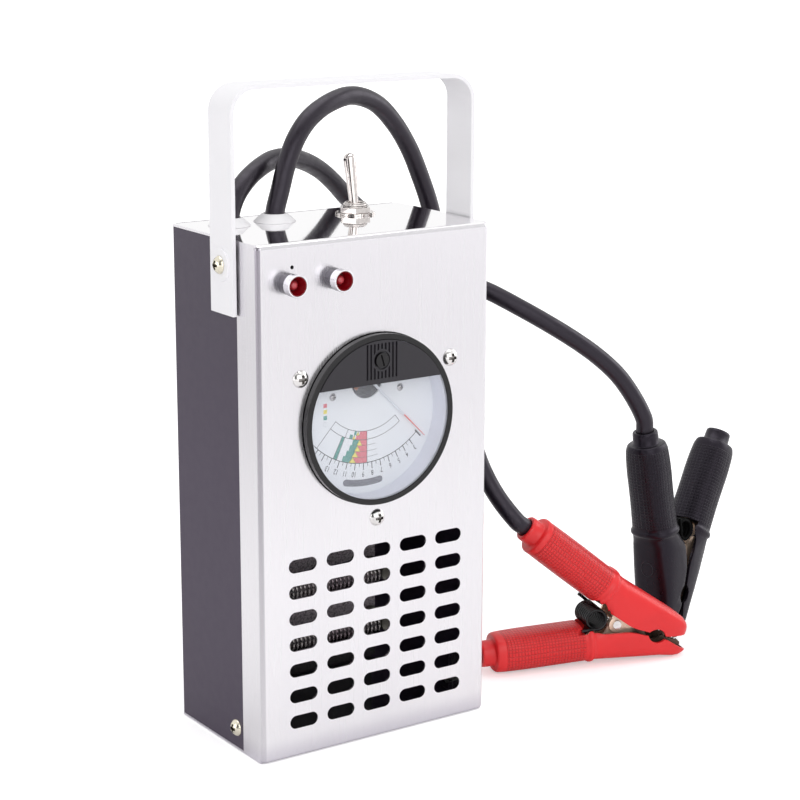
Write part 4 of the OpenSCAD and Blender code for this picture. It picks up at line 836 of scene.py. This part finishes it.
AROUND = 80
CELLS, CELL_L = 42, 1.75
BACK_H, SLOPE = 22, math.radians(16.3)
SLEEVE_WALL = 1.8
NOTCH_AT, NOTCH_R = (-23.3, -2.4), 6.2
MOUTH_Z = {"cable": -1.7, "free": 1.7}
SHORT = {"cable": 3, "free": 0}
BORE = {"cable": CABLE_D + 0.15, "free": 10.4}
LEG_SIDE = {"cable": -1, "free": 1}
RING_Z = 2
BEAD_D = (25, 20.5)
COLLAR_D = 21
CAP_UV, INSIDE_SHADE_UV = (0, -50), (0, -90)
JAW_TIP = ((-45, 6.9, 6.5), (-44.5, 8.0, 7.6), (-43.2, 9.5, 9.0), (-41, 10.8, 10.5), (-38, 11.45, 11.7))
JAW_BODY = ((-30, 12.25), (-20, 12.85), (-10, 13.2), (2, 13.2))
BEAD = ((-3.2, 0), (-1.9, 0), (-1.5, 0.75), (-0.8, 1.6), (0, 1.8), (0.8, 1.6), (1.5, 0.75), (1.9, 0))


def back_z(x):
    """Height of the jaw cover's sloping back."""
    return BACK_H + x * math.tan(SLOPE)


def squircle(at, tilt, half, up, down, power):
    """Rounded oblong ring across a sleeve, reaching up and down from its middle;
    power gives how square it is."""
    ring = []
    for k in range(AROUND):
        turn = 2 * math.pi * k / AROUND
        c, s = math.cos(turn), math.sin(turn)
        lift = math.copysign(abs(s) ** (2 / power), s) * (up if s > 0 else down)
        side = math.copysign(abs(c) ** (2 / power), c) * half
        ring.append(Vector((at.x - lift * math.sin(tilt), side, at.z + lift * math.cos(tilt))))
    return ring


def grip_ring(along, width, thick, power=2.6):
    return squircle(GRIP_AT + GRIP_X * along, GRIP_TILT, width / 2, thick / 2, thick / 2, power)


def jaw_ring(x, half, high, inset=0.0):
    return squircle(Vector((x, 0, RING_Z)), 0, half - inset, high - RING_Z - inset, 6 + inset, 4)


def jaw_rings(short, inset=0.0):
    """Rings of the jaw cover, each with its X, from the blunt tip to the grip."""
    sizes = [(x + short, half, high) for x, half, high in JAW_TIP]
    sizes += [(x, half, back_z(x)) for x, half in JAW_BODY]
    return [(x, jaw_ring(x, half, high, inset)) for x, half, high in sizes]


def grip_rings(length, bore):
    """Rings of the grip, each with its place along it: the bead, the waisted
    grip, its round end, and the collar down to the inside of its bore."""
    def width(along):
        share = along / length
        waist = BEAD_D[0] - 1.6 * math.sin(math.pi * min(share * 1.15, 1))
        return waist + (COLLAR_D - waist) * max(0, (share - 0.62) / 0.38) ** 1.4

    def thick(along):
        return BEAD_D[1] + 0.5 * math.sin(math.pi * along / length)

    rings = [(along, grip_ring(along, BEAD_D[0] + swell, BEAD_D[1] + swell)) for along, swell in BEAD]
    along = 3.0
    while along < length - 2:
        rings.append((along, grip_ring(along, width(along), thick(along))))
        along += 1.6
    for short_of, less in ((1.3, 0.15), (0.6, 0.7), (0.15, 1.6), (0, 2.8)):
        end_d = COLLAR_D - less
        rings.append((length - short_of, grip_ring(length - short_of, end_d, end_d, 2.3)))
    for past, d in ((0, 15.4), (0.5, 14.3), (5.2, 14.0), (6.5, 13.7), (COLLAR_L, 12.8),
                    (COLLAR_L, bore + 0.8), (COLLAR_L - 0.4, bore), (-9.6, bore)):
        rings.append((length + past, grip_ring(length + past, d, d, 2)))
    return rings


def skin(name, rings, mirrored, shade_inside=False):
    """Closed loft through rings. Its texture coordinates count the grip's cells,
    round it and along it; an end cap has one far spot, and an inside skin another,
    which marks it for painted shade."""
    n = AROUND
    points = [p for _, ring in rings for p in ring]
    if mirrored:
        points = [Vector((p.x, p.y, -p.z)) for p in points]
    last = (len(rings) - 1) * n
    faces = [list(range(n)), list(range(last, last + n))]
    for i in range(0, last, n):
        faces += [[i + k, i + (k + 1) % n, i + n + (k + 1) % n, i + n + k] for k in range(n)]
    obj = mesh_of(name, points, faces)
    cells = obj.data.uv_layers.new(name="cells")
    for face in obj.data.polygons:
        corners = list(zip(face.loop_indices, face.vertices))
        wraps = {v % n for _, v in corners} >= {0, n - 1}
        for loop, v in corners:
            k = n if wraps and v % n == 0 else v % n
            on_side = (k / n * CELLS, rings[v // n][0] / CELL_L)
            place = on_side if len(corners) == 4 else CAP_UV
            cells.data[loop].uv = INSIDE_SHADE_UV if shade_inside else place
    return obj


def cutter(name, outline, half, mirrored, centre=0.0):
    """Prism across a clamp, from its side view in X and height."""
    points = [(x, centre + side * half, -z if mirrored else z) for side in (-1, 1) for x, z in outline]
    n = len(outline)
    faces = [list(range(n)), list(range(n, 2 * n))]
    faces += [[k, (k + 1) % n, n + (k + 1) % n, n + k] for k in range(n)]
    return mesh_of(name, points, faces)


def arc(x, z, radius, first, last, steps):
    turns = [math.radians(first + (last - first) * i / steps) for i in range(steps + 1)]
    return [(x + radius * math.cos(turn), z + radius * math.sin(turn)) for turn in turns]


MOUTH = [(-50, -20), (-50, 4.8), (-45, 4.6), (-40.5, 3.6), (-36.5, 2.6), (-31, 1.1),
         *arc(*NOTCH_AT, NOTCH_R, 147, 33, 18), (-17, 1.1), (-11, 1.2), (-7.5, 1.5), (-4.5, 2.2),
         (-2, 3), (3, 4.6), (8, 6), (11, 6.4), (12, -20)]
COIL_ROOM = [(5.5, -8), (3.9, 5), (5.2, 9.6), (8, 12.3), (11, 13), (14.3, 12.4), (17, 10),
             (19, 5.5), (19.6, -8)]
LEG_ROOM = [(11, 1), (20.5, 5.5), (21.3, 8.5), (19, 13.5), (14.5, 18), (11.5, 18), (6.2, 9.6)]
SPRING_HALF = 9
HOLLOW_END = 8.5
FOLD = 50
CIRCLE_X, CIRCLE_R = -11, 4
FIRST_CELL, LAST_CELL = 2, 27.5


def mark_local(mesh, clamp_frame):
    """Keeps each point's place in the clamp's own frame, in millimetres, for
    the looks to read."""
    local = mesh.attributes.new("local_mm", "FLOAT_VECTOR", "POINT")
    inwards = clamp_frame.inverted()
    for vertex, value in zip(mesh.vertices, local.data):
        value.vector = (inwards @ vertex.co) / MM


def sleeve_mesh(kind):
    """The sleeve that both clamps have on one half, in the clamp's own frame."""
    mirrored = kind == "free"
    outer = jaw_rings(SHORT[kind]) + grip_rings(GRIP_L[kind], BORE[kind])
    inner = jaw_rings(SHORT[kind], SLEEVE_WALL)
    end = squircle(Vector((HOLLOW_END, 0, RING_Z)), 0, 11.4, back_z(HOLLOW_END) - 4.4, 7.8, 4)
    inner.append((HOLLOW_END, end))
    mouth, coil_room, leg_room = ([(x, z + MOUTH_Z[kind]) for x, z in outline]
                                  for outline in (MOUTH, COIL_ROOM, LEG_ROOM))
    obj = skin(f"{kind}_sleeve", outer, mirrored)
    cuts = [
        skin("hollow", inner, mirrored, shade_inside=True),
        cutter("mouth", mouth, 40, mirrored),
        cutter("coil_room", coil_room, SPRING_HALF + 1.6, mirrored),
        cutter("leg_room", leg_room, 1.4, mirrored, LEG_SIDE[kind] * SPRING_HALF),
    ]
    for cut in cuts:
        modified(obj, "BOOLEAN", operation="DIFFERENCE", solver="EXACT", object=linked(cut))
        baked(obj)
        bpy.data.objects.remove(cut)
    modified(obj, "BEVEL", width=0.35 * MM, segments=2, limit_method="ANGLE",
             angle_limit=math.radians(FOLD))
    mesh = baked(obj).data
    ease(mesh, FOLD)
    mark_local(mesh, Matrix())
    bpy.data.objects.remove(obj)
    return mesh


def vinyl(name, color, rough, shine, haze):
    """Soft vinyl with raised cells on the grip and painted shade in the grooves
    between them, a moulded circle on the cable half's cover, painted shade over
    the inside, and a fine skin."""
    def within_cell(place):
        return (place - 0.5).math("ABSOLUTE").over(0.3, 0.46, 1, 0)

    look = Look(name, color, specular_ior_level=shine, specular_tint=haze)
    place = look.attribute("local_mm")
    from_circle = (place.moved(-CIRCLE_X, 0, 0).scaled(1, 1, 0).size() - CIRCLE_R).math("ABSOLUTE")
    look.relief(from_circle.over(0.1, 0.4, 1, 0) * place.axis("Z").over(9, 10), 0.25, 0.8)
    cells = look.coords("UV")
    along = cells.axis("Y")
    on_grip = along.over(FIRST_CELL, FIRST_CELL + 0.3) * along.over(LAST_CELL - 0.3, LAST_CELL, 1, 0)
    cell = within_cell(cells.axis("X").math("FRACT")) * within_cell(along.math("FRACT"))
    look.relief(cell * on_grip, 0.5, 0.8)
    # Painted shade: the grooves between the cells are painted darker.
    look.tint((1 - cell) * on_grip * 0.45, look.darker(0.5))
    look.tint(look.at.noise(0.05, 3).over(0.35, 0.7, 0, 0.25), look.darker(0.75))
    # Painted shade: the sleeve's inside, marked by its far texture spot, is painted near black.
    look.tint(along.over(INSIDE_SHADE_UV[1] + 10, INSIDE_SHADE_UV[1] + 20, 0.85, 0), (0.006, 0.003, 0.003))
    look.rough(look.at.noise(0.3, 3).over(0.3, 0.7, rough - 0.06, rough + 0.06))
    look.relief(look.at.noise(1.5, 3), 0.03)
    return look


red_vinyl = vinyl("red_vinyl", "e6292c", 0.36, 0.5, (1.0, 0.95, 0.95))
black_vinyl = vinyl("black_vinyl", "0f0c12", 0.33, 0.35, (0.9, 0.8, 1.0))
for kind in ("cable", "free"):
    pattern = sleeve_mesh(kind)
    for clamp, material in (("red", red_vinyl), ("black", black_vinyl)):
        mesh = pattern.copy()
        mesh.transform(CLAMPS[clamp])
        body = "case" if kind == "cable" else f"{clamp}_free_half"
        rides(bpy.data.objects.new(f"{clamp}_{kind}_sleeve", mesh), body, material,
              [f"{clamp}_{kind}_grip"])

# --- Clamp metal ----------------------------------------------------------------------
# Copper-plated pressed jaws, painted dark as shade where they lie inside the
# sleeves, a bright rivet, and a black torsion spring with a leg under each half;
# the black clamp's spring is a darker, duller copy, as painted shade.

spring_black = varied("black_spring_wire", "08070a", 0.14, 0.05, 0.8, 0.01, specular_ior_level=0.4)
# Painted shade: the black clamp's spring is a darker, duller copy of the spring wire.
spring_shaded = varied("shaded_spring_wire", "030304", 0.6, 0.08, 0.8, 0.02, specular_ior_level=0.08)
SPRING_R, SPRING_TURNS, SPRING_WIRE = 5.3, 8, 1.8
SPRING_LEG, SPRING_RISE = 7, math.radians(22)
SPRING_AT = Vector((12.5, 0, MOUTH_Z["cable"]))
SPRING_STEPS = 40


def spring_route(clamp):
    """One leg, the turns and a half, and the other leg, in the clamp's place."""
    leg_x, leg_z = SPRING_LEG * math.cos(SPRING_RISE), SPRING_R + SPRING_LEG * math.sin(SPRING_RISE)
    bend_x, bend_z = leg_x * 0.5, (leg_z + SPRING_R) / 2
    steps = SPRING_STEPS * SPRING_TURNS + SPRING_STEPS // 2
    points = [Vector((leg_x, -SPRING_HALF, leg_z)), Vector((bend_x, -SPRING_HALF, bend_z))]
    for i in range(steps + 1):
        turn = 2 * math.pi * i / SPRING_STEPS
        points.append(Vector((-SPRING_R * math.sin(turn), -SPRING_HALF + 2 * SPRING_HALF * i / steps,
                              SPRING_R * math.cos(turn))))
    points += [Vector((bend_x, SPRING_HALF, -bend_z)), Vector((leg_x, SPRING_HALF, -leg_z))]
    return [(CLAMPS[clamp] @ ((p + SPRING_AT) * MM)) / MM for p in points]


copper = varied("copper_plate", (1.0, 0.77, 0.6), 0.42, 0.05, 0.8, 0.01, metallic=0.75)
inward = copper.attribute("local_mm")
# Painted shade: towards the tip, where the jaws lie inside the sleeves, the copper is painted near
# black.
copper.tint(inward.axis("X").over(-13, -8, 1, 0) * 0.9, (0.05, 0.025, 0.016))
for clamp, spring_look in (("red", spring_black), ("black", spring_shaded)):
    softened(f"{clamp}_rivet", nickel, 0.25)
    for part, body in (("cable", "case"), ("free", f"{clamp}_free_half")):
        mark_local(softened(f"{clamp}_{part}_jaw", copper, 0.2, body).data, CLAMPS[clamp])
    wire(f"{clamp}_spring_coil", spring_route(clamp), SPRING_WIRE, "case", spring_look,
         [f"{clamp}_spring"], 10)

# --- Cable lengths -------------------------------------------------------------
# Both cables are seen from end to end; each leaves the object at the top of its
# grommet and carries its whole clamp. Here only the length of each route is
# worked out, and it is not kept.

for clamp, cable, line, exit_x in (("red", red_cable, red_line, -20),
                                   ("black", black_cable, black_line, -45)):
    length_of(line)
